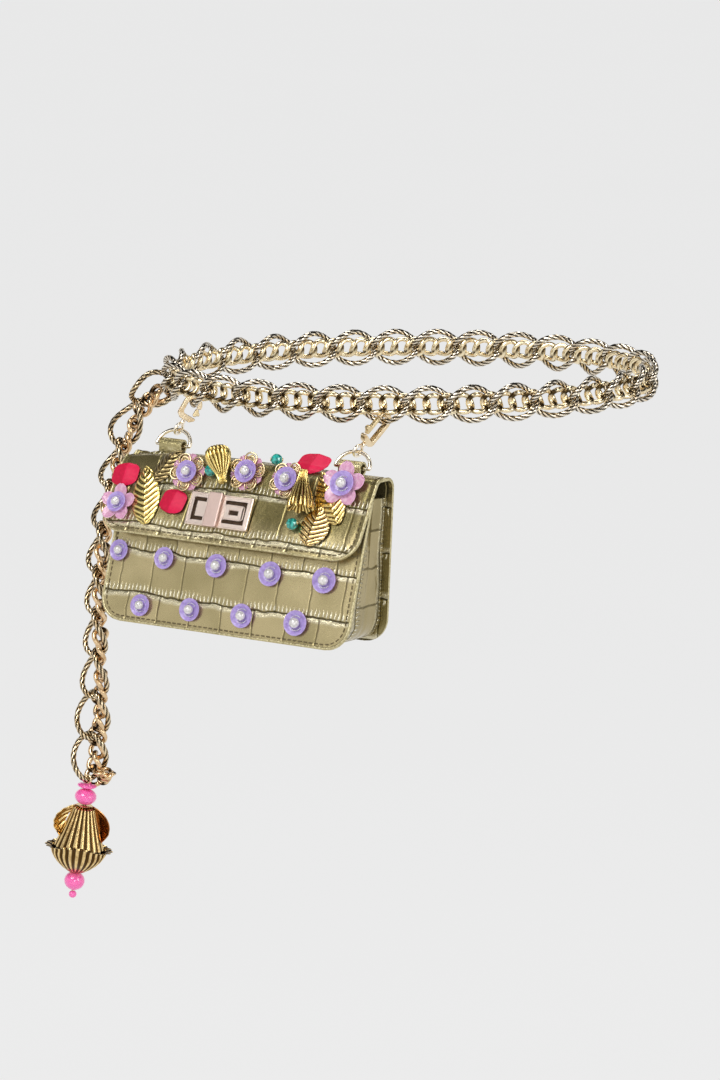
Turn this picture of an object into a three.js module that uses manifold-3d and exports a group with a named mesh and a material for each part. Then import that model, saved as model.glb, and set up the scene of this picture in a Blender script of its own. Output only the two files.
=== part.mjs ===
// A belt bag: a small flap bag of embossed leather, sewn with sequins and metal flowers, that hangs by two
// snap hooks from a double chain worn round the waist. The chain's free end carries a beaded pendant.
// Millimetres, +Z up. The origin is the middle of the waist, in the plane of the chain belt.
import * as THREE from "three";
import { mergeVertices } from "three/addons/utils/BufferGeometryUtils.js";
import Module from "manifold-3d";

const wasm = await Module();
wasm.setup();

// Shared stock
const CLEAR = 0.3; // gap between pieces that touch
const LEATHER = 1.8; // wall of the bag
const SHEET_METAL = 0.8; // wall of petals and leaves

// Chain belt
const WAIST_HALF_WIDTH = 137; // from the middle to the line of the chain, side to side
const WAIST_HALF_DEPTH = 95; // the same, front to back
const LINK_PITCH = 24.5;
const LINK_HALF_HEIGHT = 9.35; // to the middle of the wire
const LINK_WIRE = 1.45; // radius
const LINK_TWIST = 45; // degrees that each end of a link is turned
const LINK_FUSE = 0.6; // how deep neighbouring links of one chain are soldered into each other
const LINK_STEPS = 10;
const WIRE_SIDES = 5;
const TAIL_TURNS = [0, 35, 55, 60, 60, 60, 58, 45, 20, 0]; // each link of the free end about its line, in degrees
const TAIL_LINKS = TAIL_TURNS.length;
const INNER_RADIUS = 1.2; // the fine chain laced through the links, as a plain line
const INNER_OFFSET = 4.6; // from the line of the big links, round the belt
const INNER_TAIL_OFFSET = 5.2; // the same, in the tail
const INNER_STEPS = 42;
const INNER_SIDES = 8;
const FIRST_HOOK_ANGLE = 206.8; // where the left hook holds the belt, round the waist from +X
const HOOK_SPREAD = 5; // links from the left hook to the right one
const CLOSURE_BEFORE = 2; // links from the closure to the left hook

// The free end of the chain, down past the bag, and the crossing of the fine chain to it, from the closure's foot
const TAIL_ROUTE = [
  [-10, -3, 1],
  [-20.5, -6, -10.5],
  [-28.5, -11.5, -28.5],
  [-34.5, -19, -52.5],
  [-40, -26.6, -84.7],
  [-42, -28.6, -115.7],
  [-43, -28.6, -145.7],
  [-44, -28.6, -172.7],
  [-46, -28.6, -198.7],
  [-48.5, -28.6, -226.7],
  [-51, -28.6, -246.7],
];
const INNER_CROSSING = [
  [8, 17.4, 3.3],
  [4, 12.4, -5.7],
  [-9, 9.4, -9.7],
  [-20, 3.4, -20.6],
];

// Bag
const BAG_WIDTH = 164;
const FRONT_WIDTH = 160;
const BAG_HEIGHT = 93;
const DEPTH_TOP = 16.8; // back face to front face
const DEPTH_BOTTOM = 43;
const BACK_FOLD = 7; // radius of the fold from the back to the top
const FRONT_FOLD = 6; // radius of the fold from the top to the flap
const FOLD_FORWARD = 3.8; // the front fold stands this far in front of the front panel
const CORNER = 14; // radius of the flap's and the panels' corners
const FLAP_DROP = 44; // the flap's lower edge, below the top
const FLAP_STAND = 6; // the flap's lower edge, in front of the front panel
const FLAP_SHIFT = -4; // the flap's lower edge, sideways
const FRONT_TOP = 12; // the front panel's upper edge, below the top
const FRONT_BOW = 3; // the front panel's swell
const GUSSET_INSET = 2; // the gusset lies this far inside the panels' edges
const GUSSET_TOP = 12; // its ends, below the top
const GUSSET_DIP = 3; // its inward fold at the top
const BAG_PLACE = [-79.7, -85, -33.3]; // the middle of the back's upper edge
const BAG_YAW = -29.5;
const BAG_PITCH = -3.7;
const BAG_ROLL = 0.8;

// Forms of the flap piece: places as shares of its half width and length, rise as a share of the bag's height
const FLAP_FORMS = [
  { across: -1.0, along: 0.66, acrossReach: 0.3, alongReach: 0.07, rise: -0.045 },
  { across: -0.45, along: 0.7, acrossReach: 0.3, alongReach: 0.07, rise: 0.012 },
  { across: 0.9, along: 0.93, acrossReach: 0.25, alongReach: 0.12, rise: -0.02 },
  { across: -0.75, along: 0.95, acrossReach: 0.3, alongReach: 0.12, rise: 0.012 },
];

// Rings, tabs and snap hooks
const RING_SPACING = 116.6;
const RING_SHIFT = -5;
const RING_HALF_WIDTH = 10.8;
const RING_HEIGHT = 9.6;
const RING_WIRE = 1.1;
const RING_LEAN = 30; // degrees back from upright
const TAB_WIDTH = 14;
const TAB_LENGTH = 12;
const TAB_RISE = 1.6; // the ring's bar above the bag's top
const TAB_STRAP = 1.2;
const HOOK_ARCH = 2.9; // inner radius of the hook's bend
const HOOK_BAR = 2.5;
const HOOK_THICK = 3.4;
const HOOK_TIP = 0.7; // the hook's tip, below the middle of its bend
const HOOK_BASE = 3.4;
const EYE_HOLE = 2.3;
const EYE_WIRE = 0.9;
const EYE_POST = 1.4;
const GATE_WIDTH = 2;
const GATE_THICK = 2.4;
const GATE_THUMB = 2.2;
const HOOK_TURNS = { left: 0, right: 180 }; // swivel of each hook about its length, in degrees

// Turn lock, on the flap
const LOCK_PLACE = { u: -8, e: 18.6 };
const LOCK_WIDTH = 40;
const LOCK_HEIGHT = 19;
const LOCK_THICK = 2;
const LOCK_BORDER = 3;
const LOCK_SLOT = 2.6;
const TURN_OFFSET = -3; // the turn's axis from the plate's middle
const TURN_WIDTH = 8.6;
const TURN_LENGTH = 20;
const TURN_THICK = 2.2;
const TURN_POST = 2;

// Sewn pieces. u is across the bag from its middle, e is up from the lower edge of the flap or front
const SEQUIN_RADIUS = 5.8;
const PEARL_RADIUS = 2.4;
const SEQUIN_HEIGHT = 4.4;
const SEQUIN_RIM = 1.5;
const ROUND_SIDES = 10;
const FRONT_SEQUINS = [
  { u: -73.2, e: 39.4 },
  { u: -42.5, e: 38.9 },
  { u: -7.9, e: 39 },
  { u: 26.7, e: 38.5 },
  { u: 60.4, e: 38.3 },
  { u: -53.1, e: 10.4 },
  { u: -20.7, e: 12.1 },
  { u: 13, e: 13 },
  { u: 47.2, e: 12.9 },
];
const PETAL_COUNT = 5;
const PETAL_VALLEY = 0.5; // the waist between two petals, as a share of the flower's radius
const FLOWERS = [
  { name: "left_corner", u: -72.4, e: 15.5, radius: 11, lift: 2, filigree: 0, turn: 20 },
  { name: "left", u: -34.6, e: 38.2, radius: 10.6, lift: 1.6, filigree: 9.6, turn: 10 },
  { name: "middle", u: 1.2, e: 42.6, radius: 10.4, lift: 0.3, filigree: 9.2, turn: 50 },
  { name: "right", u: 27.4, e: 41.2, radius: 9.6, lift: 0.3, filigree: 8.6, turn: 25 },
  { name: "right_corner", u: 63.4, e: 42.4, radius: 13, lift: 2.6, filigree: 0, turn: 18 },
];
const RED_PETALS = [
  { name: "left", u: -75.2, e: 32.8, width: 16.2, length: 13, lift: 0.3, turn: 5 },
  { name: "middle", u: -38.9, e: 20.8, width: 15.4, length: 13.2, lift: 0.3, turn: -8 },
  { name: "top", u: 40, e: 53, width: 21, length: 13, lift: 0.5, turn: 6 },
];
const RED_RIDGE = 1.6;
const LEAVES = [
  { name: "left", u: -57.4, e: 22.2, width: 15.4, length: 35, lift: 0.4, turn: 21 },
  { name: "dark", u: -51.2, e: 42.4, width: 9, length: 20, lift: 0.3, turn: -12 },
  { name: "right", u: 56.6, e: 34.4, width: 14.4, length: 30, lift: 0.3, turn: 36 },
  { name: "pointed", u: 53.6, e: 17, width: 16.4, length: 20, lift: 0.3, turn: -4 },
];
const LEAF_RIDGE = 1.1;
const BELLS = [
  { name: "left", u: -11, e: 39, length: 22, small: 2.6, wide: 7.4, down: 0.28, turn: 26, flare: 0 },
  { name: "right", u: 42.6, e: 34, length: 25, small: 2.6, wide: 7.6, down: 0.5, turn: 190, flare: 0.3 },
];
const TEAL_RADIUS = 3.4;
const TEAL_BEADS = [
  { name: "left", u: -20.6, e: 40.4 },
  { name: "middle", u: 16, e: 50 },
  { name: "right", u: 40.6, e: 16.4 },
];

// Pendant, strung on a headed pin. Heights are along the pin, down from the link that it hangs on
const PENDANT_LEAN = 8; // degrees from plumb, to the left
const PIN_RADIUS = 0.6;
const PIN_EYE = 1.9;
const PIN_EYE_WIRE = 0.6;
const BEAD_STACK = [
  { name: "upper_bead", radius: 5.8, height: 2 },
  { name: "main_bead", radius: 6.3, height: 9.4 },
];
const COLLAR_HEIGHT = 0.6;
const COLLAR_RADIUS = 5;
const CONE_HEIGHT = 24;
const CONE_TOP = 6.6;
const CONE_BOTTOM = 14.4;
const CONE_FLUTES = 16;
const METAL_WALL = 1;
const FLUTE_DEPTH = 0.5;
const CUP_HEIGHT = 16.6;
const CUP_OVERLAP = 2; // the cup's rim reaches above the cone's lower edge
const CUP_FLUTES = 12;
const CUP_RADIUS = 16;
const CUP_RIM = 18.4;
const CUP_FOOT = 5;
const LOWER_BEAD = { radius: 5.9, height: 11 };
const END_BEAD = 2.3;
const SIDE_PETALS = [
  { turn: 0, length: 22, width: 9, flare: 17.2 },
  { turn: 180, length: 17, width: 8, flare: 17.6 },
];

const MATERIALS = {
  leather: new THREE.MeshStandardMaterial({ color: 0xb8ab82, roughness: 0.45, metalness: 0.35 }),
  chain: new THREE.MeshStandardMaterial({ color: 0xd9c7a0, roughness: 0.25, metalness: 1 }),
  gold: new THREE.MeshStandardMaterial({ color: 0xd9b24a, roughness: 0.25, metalness: 1 }),
  darkGold: new THREE.MeshStandardMaterial({ color: 0x9a6b2c, roughness: 0.35, metalness: 1 }),
  roseGold: new THREE.MeshStandardMaterial({ color: 0xd9c0ae, roughness: 0.3, metalness: 0.8 }),
  lilac: new THREE.MeshStandardMaterial({ color: 0xb3a0d8, roughness: 0.3, metalness: 0.1 }),
  pinkPetal: new THREE.MeshStandardMaterial({ color: 0xd9b0c8, roughness: 0.25, metalness: 0 }),
  red: new THREE.MeshStandardMaterial({ color: 0xd81f4c, roughness: 0.4, metalness: 0 }),
  teal: new THREE.MeshStandardMaterial({ color: 0x2fa89a, roughness: 0.1, metalness: 0 }),
  pink: new THREE.MeshStandardMaterial({ color: 0xf77fc0, roughness: 0.2, metalness: 0 }),
};

const rad = THREE.MathUtils.degToRad;

// Solids

function solidOf(geometry) {
  const bare = geometry.clone();
  bare.deleteAttribute("normal");
  bare.deleteAttribute("uv");
  const merged = mergeVertices(bare, 1e-4);
  const triVerts = new Uint32Array(merged.index.array);
  return new wasm.Manifold(
    new wasm.Mesh({ numProp: 3, vertProperties: merged.attributes.position.array, triVerts }),
  );
}

function geometryOf(solid) {
  const mesh = solid.getMesh();
  const geometry = new THREE.BufferGeometry();
  geometry.setAttribute("position", new THREE.BufferAttribute(mesh.vertProperties, 3));
  geometry.setIndex(new THREE.BufferAttribute(mesh.triVerts, 1));
  geometry.computeVertexNormals();
  return geometry;
}

function fuse(geometries) {
  const [first, ...others] = geometries.map(solidOf);
  return geometryOf(others.reduce((whole, next) => whole.add(next), first));
}

function cut(geometry, tools) {
  return geometryOf(tools.map(solidOf).reduce((left, tool) => left.subtract(tool), solidOf(geometry)));
}

function reshape(geometry, place) {
  const position = geometry.attributes.position;
  const point = new THREE.Vector3();
  for (let i = 0; i < position.count; i++) {
    point.fromBufferAttribute(position, i);
    const moved = place(point);
    position.setXYZ(i, moved.x, moved.y, moved.z);
  }
  return geometry;
}

// A sheet with a wall: place takes across from -1 to 1, a row number and 0 or 1 for the inner and outer face
function sheet(columns, rows, place) {
  const grid = new THREE.BoxGeometry(2, rows, 1, columns, rows, 1);
  return reshape(grid, (p) => place(p.x, Math.round(p.y + rows / 2), p.z + 0.5));
}

// A closed wire: centre gives its line by an angle, and facing the normal of the loop's plane there
function wireLoop(centre, facing, wire, steps = LINK_STEPS, sides = WIRE_SIDES) {
  const big = 10 * wire;
  const ring = new THREE.TorusGeometry(big, wire, sides, steps);
  const tiny = 1e-3;
  return reshape(ring, (p) => {
    const angle = Math.atan2(p.y, p.x);
    const tangent = centre(angle + tiny).sub(centre(angle - tiny)).normalize();
    const normal = facing(angle);
    normal.addScaledVector(tangent, -normal.dot(tangent)).normalize();
    const outward = new THREE.Vector3().crossVectors(tangent, normal);
    const reach = Math.hypot(p.x, p.y) - big;
    return centre(angle).addScaledVector(outward, reach).addScaledVector(normal, p.z);
  });
}

// A round piece from a closed profile of [radius, height] points
function turned(profile, sides) {
  const points = profile.map(([radius, height]) => new THREE.Vector2(radius, height));
  return new THREE.LatheGeometry([...points, points[0]], sides);
}

function fluted(geometry, flutes, depth, from) {
  return reshape(geometry, (p) => {
    const radius = Math.hypot(p.x, p.z);
    const angle = Math.atan2(p.z, p.x);
    const ridge = radius > from ? 1 + (depth / radius) * Math.cos(flutes * angle) : 1;
    return new THREE.Vector3(p.x * ridge, p.y, p.z * ridge);
  });
}

function named(name, geometry, material) {
  const mesh = new THREE.Mesh(geometry, material);
  mesh.name = name;
  return mesh;
}

function frameOf(xAxis, yAxis, zAxis, origin) {
  const group = new THREE.Group();
  group.quaternion.setFromRotationMatrix(new THREE.Matrix4().makeBasis(xAxis, yAxis, zAxis));
  group.position.copy(origin);
  return group;
}

// Chain

// One link of a curb chain, turned at both ends so that the chain lies flat. Its length is along X
function linkGeometry(halfLength, wire = LINK_WIRE) {
  const turnAt = (angle) => -rad(LINK_TWIST) * Math.cos(angle);
  const centre = (angle) => {
    const turn = turnAt(angle);
    const side = LINK_HALF_HEIGHT * Math.sin(angle);
    return new THREE.Vector3(halfLength * Math.cos(angle), side * Math.cos(turn), side * Math.sin(turn));
  };
  const facing = (angle) => new THREE.Vector3(0, -Math.sin(turnAt(angle)), Math.cos(turnAt(angle)));
  return wireLoop(centre, facing, wire);
}

// A link's lower wire is straight between two steps: its height there, and its direction
const STEP_TURN = rad(LINK_TWIST) * Math.sin(Math.PI / LINK_STEPS);
const WIRE_LEVEL = -LINK_HALF_HEIGHT * Math.cos(Math.PI / LINK_STEPS) * Math.cos(STEP_TURN);

const FUSED_HALF_LENGTH = (LINK_PITCH + 2 * LINK_WIRE - LINK_FUSE) / 2;
const LOOSE_HALF_LENGTH = LINK_PITCH + 2 * LINK_WIRE + 3 * CLEAR - FUSED_HALF_LENGTH;

const waistPath = new THREE.EllipseCurve(0, 0, WAIST_HALF_WIDTH, WAIST_HALF_DEPTH);
const WAIST_LENGTH = waistPath.getLength();
const LINK_COUNT = Math.round(WAIST_LENGTH / LINK_PITCH);
const FIRST_HOOK_SHARE = shareAtAngle(FIRST_HOOK_ANGLE);

// How far round the waist, by length, a direction from the middle lies
function shareAtAngle(degrees) {
  const steps = 720;
  const lengths = waistPath.getLengths(steps);
  return lengths[Math.round((degrees / 360) * steps)] / lengths[steps];
}

// The frame of belt link i: X along the belt, Y up, Z out from the waist
function beltFrame(index) {
  const share = (FIRST_HOOK_SHARE + index / LINK_COUNT + 2) % 1;
  const point = waistPath.getPointAt(share);
  const tangent = waistPath.getTangentAt(share);
  const along = new THREE.Vector3(tangent.x, tangent.y, 0);
  const up = new THREE.Vector3(0, 0, 1);
  const out = new THREE.Vector3().crossVectors(along, up);
  return new THREE.Matrix4().makeBasis(along, up, out).setPosition(point.x, point.y, 0);
}

function beltChain() {
  const links = [];
  for (let i = 1 - CLOSURE_BEFORE; i < LINK_COUNT - CLOSURE_BEFORE; i++) {
    links.push(linkGeometry(FUSED_HALF_LENGTH).applyMatrix4(beltFrame(i)));
  }
  return named("belt_chain", fuse(links), MATERIALS.chain);
}

function closureRing() {
  const ring = linkGeometry(LOOSE_HALF_LENGTH).applyMatrix4(beltFrame(-CLOSURE_BEFORE));
  return named("closure_ring", ring, MATERIALS.chain);
}

const closureFoot = new THREE.Vector3(0, -LINK_HALF_HEIGHT, 0).applyMatrix4(beltFrame(-CLOSURE_BEFORE));
const tailPath = new THREE.CatmullRomCurve3([
  closureFoot,
  ...TAIL_ROUTE.map(([x, y, z]) => new THREE.Vector3(x, y, z).add(closureFoot)),
]);
const TAIL_START = FUSED_HALF_LENGTH - 2 * LINK_WIRE - 2 * CLEAR; // first link's middle, from the closure's wire

// The frame of tail link i: X down the tail, Y to the right and Z to the front, turned about X
function tailFrame(index) {
  const share = (TAIL_START + index * LINK_PITCH) / tailPath.getLength();
  const along = tailPath.getTangentAt(share);
  const front = new THREE.Vector3(0, -1, 0);
  front.addScaledVector(along, -front.dot(along)).normalize();
  const side = new THREE.Vector3().crossVectors(front, along);
  const frame = new THREE.Matrix4().makeBasis(along, side, front).setPosition(tailPath.getPointAt(share));
  return frame.multiply(new THREE.Matrix4().makeRotationX(rad(TAIL_TURNS[index])));
}

function tailChain() {
  const links = [];
  for (let i = 0; i < TAIL_LINKS; i++) {
    links.push(linkGeometry(FUSED_HALF_LENGTH).applyMatrix4(tailFrame(i)));
  }
  return named("tail_chain", fuse(links), MATERIALS.chain);
}

// The fine chain's line: round the inside of the belt, across below the closure and down behind the tail
function innerChain() {
  const points = [];
  for (let i = 2 - CLOSURE_BEFORE; i <= LINK_COUNT - CLOSURE_BEFORE - 1; i++) {
    points.push(new THREE.Vector3(0, 0, -INNER_OFFSET).applyMatrix4(beltFrame(i)));
  }
  for (const [x, y, z] of INNER_CROSSING) points.push(new THREE.Vector3(x, y, z).add(closureFoot));
  for (let i = 1; i < TAIL_LINKS; i++) {
    points.push(new THREE.Vector3(0, 0, -INNER_TAIL_OFFSET).applyMatrix4(tailFrame(i)));
  }
  const section = new THREE.Shape();
  section.absarc(0, 0, INNER_RADIUS, 0, 2 * Math.PI);
  const tube = new THREE.ExtrudeGeometry(section, {
    steps: INNER_STEPS,
    curveSegments: INNER_SIDES / 2,
    extrudePath: new THREE.CatmullRomCurve3(points),
  });
  return named("inner_chain", tube, MATERIALS.chain);
}

// Bag

const FRONT_SLOPE = Math.atan((DEPTH_BOTTOM - DEPTH_TOP) / BAG_HEIGHT);

function frontFace(z) {
  return -DEPTH_TOP + z * Math.tan(FRONT_SLOPE);
}

// The bag's side profile, outside, from the foot of the back over the top to the flap's edge: x is depth, y height
function flapProfile() {
  const stand = (FLAP_STAND + LEATHER + CLEAR) / Math.cos(FRONT_SLOPE);
  const end = new THREE.Vector2(frontFace(-FLAP_DROP) - stand, -FLAP_DROP);
  const fold = new THREE.Vector2(FRONT_FOLD - DEPTH_TOP - FOLD_FORWARD, -FRONT_FOLD);
  const way = end.clone().sub(fold);
  const tangentAngle = way.angle() - Math.acos(FRONT_FOLD / way.length());
  const path = new THREE.Path();
  path.moveTo(0, -BAG_HEIGHT);
  path.lineTo(0, -BACK_FOLD);
  path.absarc(-BACK_FOLD, -BACK_FOLD, BACK_FOLD, 0, Math.PI / 2);
  path.absarc(fold.x, fold.y, FRONT_FOLD, Math.PI / 2, tangentAngle);
  path.lineTo(end.x, end.y);
  return path;
}

const profile = flapProfile();
const PROFILE_LENGTH = profile.getLength();
const FLAP_STRAIGHT = profile.curves.at(-1).getLength();
const FOLD_STEPS = 3;
const ROW_STEP = 15;
const CORNER_STEPS = 3;

// Row places along the profile: fine round the folds and where the corners are rounded
function profileRows() {
  const rows = [];
  let start = 0;
  for (const curve of profile.curves) {
    const span = curve.getLength();
    const steps = curve.isEllipseCurve ? FOLD_STEPS : Math.ceil(span / ROW_STEP);
    for (let i = 0; i < steps; i++) rows.push(start + (span * i) / steps);
    start += span;
  }
  return withCorners(rows, PROFILE_LENGTH, true);
}

function withCorners(rows, length, bothEnds) {
  const corner = [];
  for (let i = 0; i <= CORNER_STEPS; i++) {
    corner.push(CORNER * (1 - Math.cos((i * Math.PI) / 2 / CORNER_STEPS)));
  }
  const margin = CORNER + 1;
  const last = bothEnds ? length - margin : length;
  const inner = rows.filter((s) => s > margin && s <= last);
  return [...corner, ...inner, ...(bothEnds ? corner.map((s) => length - s).reverse() : [])];
}

function roundedHalfWidth(halfWidth, fromEnd) {
  const inside = Math.max(0, CORNER - fromEnd);
  return halfWidth - CORNER + Math.sqrt(CORNER * CORNER - inside * inside);
}

// A point of the back, top and flap piece: u across, s along its profile, lift out from its outer face
function flapPoint(u, s, lift) {
  const share = THREE.MathUtils.clamp(s / PROFILE_LENGTH, 0, 1);
  const tiny = 1e-3;
  const point = profile.getPoint(share);
  const before = profile.getPoint(Math.max(0, share - tiny));
  const tangent = profile.getPoint(Math.min(1, share + tiny)).sub(before).normalize();
  const down = THREE.MathUtils.clamp((s - PROFILE_LENGTH + FLAP_STRAIGHT) / FLAP_STRAIGHT, 0, 1);
  let rise = lift;
  for (const form of FLAP_FORMS) {
    const across = (u / (BAG_WIDTH / 2) - form.across) / form.acrossReach;
    const along = (share - form.along) / form.alongReach;
    rise += BAG_HEIGHT * form.rise * Math.exp(-across * across - along * along);
  }
  return new THREE.Vector3(u + FLAP_SHIFT * down, point.x + tangent.y * rise, point.y - tangent.x * rise);
}

// A point of the front panel: u across, e up from its lower edge
function frontPoint(u, e, lift) {
  const rise = lift + FRONT_BOW * Math.cos((Math.PI * u) / FRONT_WIDTH) * Math.sin((Math.PI * e) / frontLength());
  const y = -DEPTH_BOTTOM + e * Math.sin(FRONT_SLOPE) - rise * Math.cos(FRONT_SLOPE);
  return new THREE.Vector3(u, y, -BAG_HEIGHT + e * Math.cos(FRONT_SLOPE) - rise * Math.sin(FRONT_SLOPE));
}

function frontLength() {
  return (BAG_HEIGHT - FRONT_TOP) / Math.cos(FRONT_SLOPE);
}

const FLAP_COLUMNS = 10;
const FRONT_COLUMNS = 6;

function backAndFlap() {
  const rows = profileRows();
  const place = (across, row, through) => {
    const s = rows[row];
    const halfWidth = roundedHalfWidth(BAG_WIDTH / 2, Math.min(s, PROFILE_LENGTH - s));
    return flapPoint(-across * halfWidth, s, (through - 1) * LEATHER);
  };
  return named("back_and_flap", sheet(FLAP_COLUMNS, rows.length - 1, place), MATERIALS.leather);
}

function frontPanel() {
  const length = frontLength();
  const spaced = [];
  for (let i = 1; i * ROW_STEP < length - 1; i++) spaced.push(i * ROW_STEP);
  const rows = withCorners([...spaced, length], length, false);
  const place = (across, row, through) => {
    const halfWidth = roundedHalfWidth(FRONT_WIDTH / 2, rows[row]);
    return frontPoint(across * halfWidth, rows[row], (through - 1) * LEATHER);
  };
  return named("front_panel", sheet(FRONT_COLUMNS, rows.length - 1, place), MATERIALS.leather);
}

// The gusset's line round the sides and foot of the bag, as seen from the front
function gussetPath() {
  const side = FRONT_WIDTH / 2 - GUSSET_INSET;
  const foot = -BAG_HEIGHT + GUSSET_INSET;
  const radius = CORNER - GUSSET_INSET;
  const path = new THREE.Path();
  path.moveTo(-side, -GUSSET_TOP);
  path.lineTo(-side, foot + radius);
  path.absarc(-side + radius, foot + radius, radius, Math.PI, 1.5 * Math.PI);
  path.absarc(side - radius, foot + radius, radius, 1.5 * Math.PI, 2 * Math.PI);
  path.lineTo(side, -GUSSET_TOP);
  return path;
}

const GUSSET_COLUMNS = 2;
const GUSSET_STEPS = 6;

function gusset() {
  const path = gussetPath();
  const rows = [];
  for (const curve of path.curves) {
    const steps = curve.isEllipseCurve ? CORNER_STEPS : GUSSET_STEPS;
    for (let i = 0; i < steps; i++) rows.push({ curve, share: i / steps });
  }
  rows.push({ curve: path.curves.at(-1), share: 1 });
  const back = -LEATHER - CLEAR;
  const place = (across, row, through) => {
    const { curve, share } = rows[row];
    const point = curve.getPoint(share);
    const tangent = curve.getTangent(share);
    const openness = THREE.MathUtils.clamp(1 + point.y / (BAG_HEIGHT - CORNER), 0, 1);
    const inward = (1 - through) * LEATHER + GUSSET_DIP * openness * (1 - across * across);
    const x = point.x - tangent.y * inward;
    const z = point.y + tangent.x * inward;
    const front = frontFace(z) + (LEATHER + CLEAR) / Math.cos(FRONT_SLOPE);
    return new THREE.Vector3(x, THREE.MathUtils.lerp(back, front, (1 - across) / 2), z);
  };
  return named("gusset", sheet(GUSSET_COLUMNS, rows.length - 1, place), MATERIALS.leather);
}

// Seats for what is sewn on the leather: X across, Y up, Z out

function seatOn(surface, u, e, lift, turn) {
  const tiny = 0.05;
  const across = surface(u + tiny, e, 0).sub(surface(u - tiny, e, 0)).normalize();
  const up = surface(u, e + tiny, 0).sub(surface(u, e - tiny, 0)).normalize();
  const out = new THREE.Vector3().crossVectors(across, up).normalize();
  up.crossVectors(out, across);
  const seat = frameOf(across, up, out, surface(u, e, lift));
  seat.rotateZ(rad(turn));
  return seat;
}

function onFlap({ u, e, turn = 0 }, lift) {
  return seatOn((a, b, c) => flapPoint(a, PROFILE_LENGTH - b, c), u, e, lift, turn);
}

function onFront({ u, e }, lift) {
  return seatOn(frontPoint, u, e, lift, 0);
}

// Rings, tabs and hooks

const ringSide = { left: -1, right: 1 };
const TAB_OUTER = RING_WIRE + CLEAR + TAB_STRAP;
const BAR_DEPTH = CLEAR + TAB_OUTER;

function ringX(side) {
  return RING_SHIFT + (ringSide[side] * RING_SPACING) / 2;
}

function ringTop(side) {
  const lean = rad(RING_LEAN);
  const x = ringX(side);
  return new THREE.Vector3(x, BAR_DEPTH + RING_HEIGHT * Math.sin(lean), TAB_RISE + RING_HEIGHT * Math.cos(lean));
}

function dRing(side) {
  const lean = rad(RING_LEAN);
  const centre = (angle) => {
    const height = RING_HEIGHT * Math.max(0, Math.sin(angle));
    const x = RING_HALF_WIDTH * Math.cos(angle);
    return new THREE.Vector3(x, height * Math.sin(lean), height * Math.cos(lean));
  };
  const facing = () => new THREE.Vector3(0, -Math.cos(lean), Math.sin(lean));
  const ring = wireLoop(centre, facing, RING_WIRE, 12);
  ring.translate(ringX(side), BAR_DEPTH, TAB_RISE);
  return named(`d_ring_${side}`, ring, MATERIALS.gold);
}

function ringTab(side) {
  const tail = CLEAR + 2 * TAB_STRAP;
  const drop = Math.acos((tail - BAR_DEPTH) / TAB_OUTER);
  const shape = new THREE.Shape();
  shape.moveTo(CLEAR, -TAB_LENGTH);
  shape.lineTo(tail, -TAB_LENGTH);
  shape.absarc(BAR_DEPTH, TAB_RISE, TAB_OUTER, -drop, Math.PI);
  shape.lineTo(CLEAR, -TAB_LENGTH);
  const hole = new THREE.Path();
  hole.absarc(BAR_DEPTH, TAB_RISE, RING_WIRE + CLEAR, 0, 2 * Math.PI);
  shape.holes.push(hole);
  const tab = new THREE.ExtrudeGeometry(shape, { depth: TAB_WIDTH, bevelEnabled: false, curveSegments: 5 });
  tab.translate(0, 0, ringX(side) - TAB_WIDTH / 2);
  const toBag = new THREE.Matrix4().set(0, 0, 1, 0, 1, 0, 0, 0, 0, 1, 0, 0, 0, 0, 0, 1);
  tab.applyMatrix4(toBag);
  return named(`ring_tab_${side}`, tab, MATERIALS.leather);
}

const hookLink = { left: 0, right: HOOK_SPREAD };

// The line of a snap hook: from the ring that it pulls on to the belt link that it holds
function hookLine(side, bag) {
  const ring = ringTop(side).applyMatrix4(bag.matrix);
  const frame = beltFrame(hookLink[side]);
  const wire = new THREE.Vector3(0, WIRE_LEVEL, 0).applyMatrix4(frame);
  const wireLine = new THREE.Vector3(FUSED_HALF_LENGTH, 0, LINK_HALF_HEIGHT * rad(LINK_TWIST));
  const along = wireLine.transformDirection(frame);
  const up = wire.clone().sub(ring).normalize();
  const slope = (HOOK_THICK / 2) * Math.abs(along.dot(up)); // the wire crosses the bend at a slant
  const reach = wire.distanceTo(ring) - (HOOK_ARCH - LINK_WIRE - CLEAR - slope);
  return { ring, up, along, reach, bend: ring.clone().addScaledVector(up, reach) };
}

function squareTo(up, wanted) {
  const across = wanted.clone().addScaledVector(up, -wanted.dot(up)).normalize();
  return { side: new THREE.Vector3().crossVectors(up, across), across };
}

function hookFrame(side, bag) {
  const { up, along, bend } = hookLine(side, bag);
  const { side: gateSide, across } = squareTo(up, along);
  const group = frameOf(gateSide, up, across, bend);
  group.rotateY(rad(HOOK_TURNS[side]));
  return group;
}

function hookBaseFoot(reach) {
  const eyeMiddle = -reach + EYE_HOLE - RING_WIRE - 2 * CLEAR;
  return { eyeMiddle, foot: eyeMiddle + EYE_HOLE + 2 * EYE_WIRE + EYE_POST + CLEAR };
}

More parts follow.
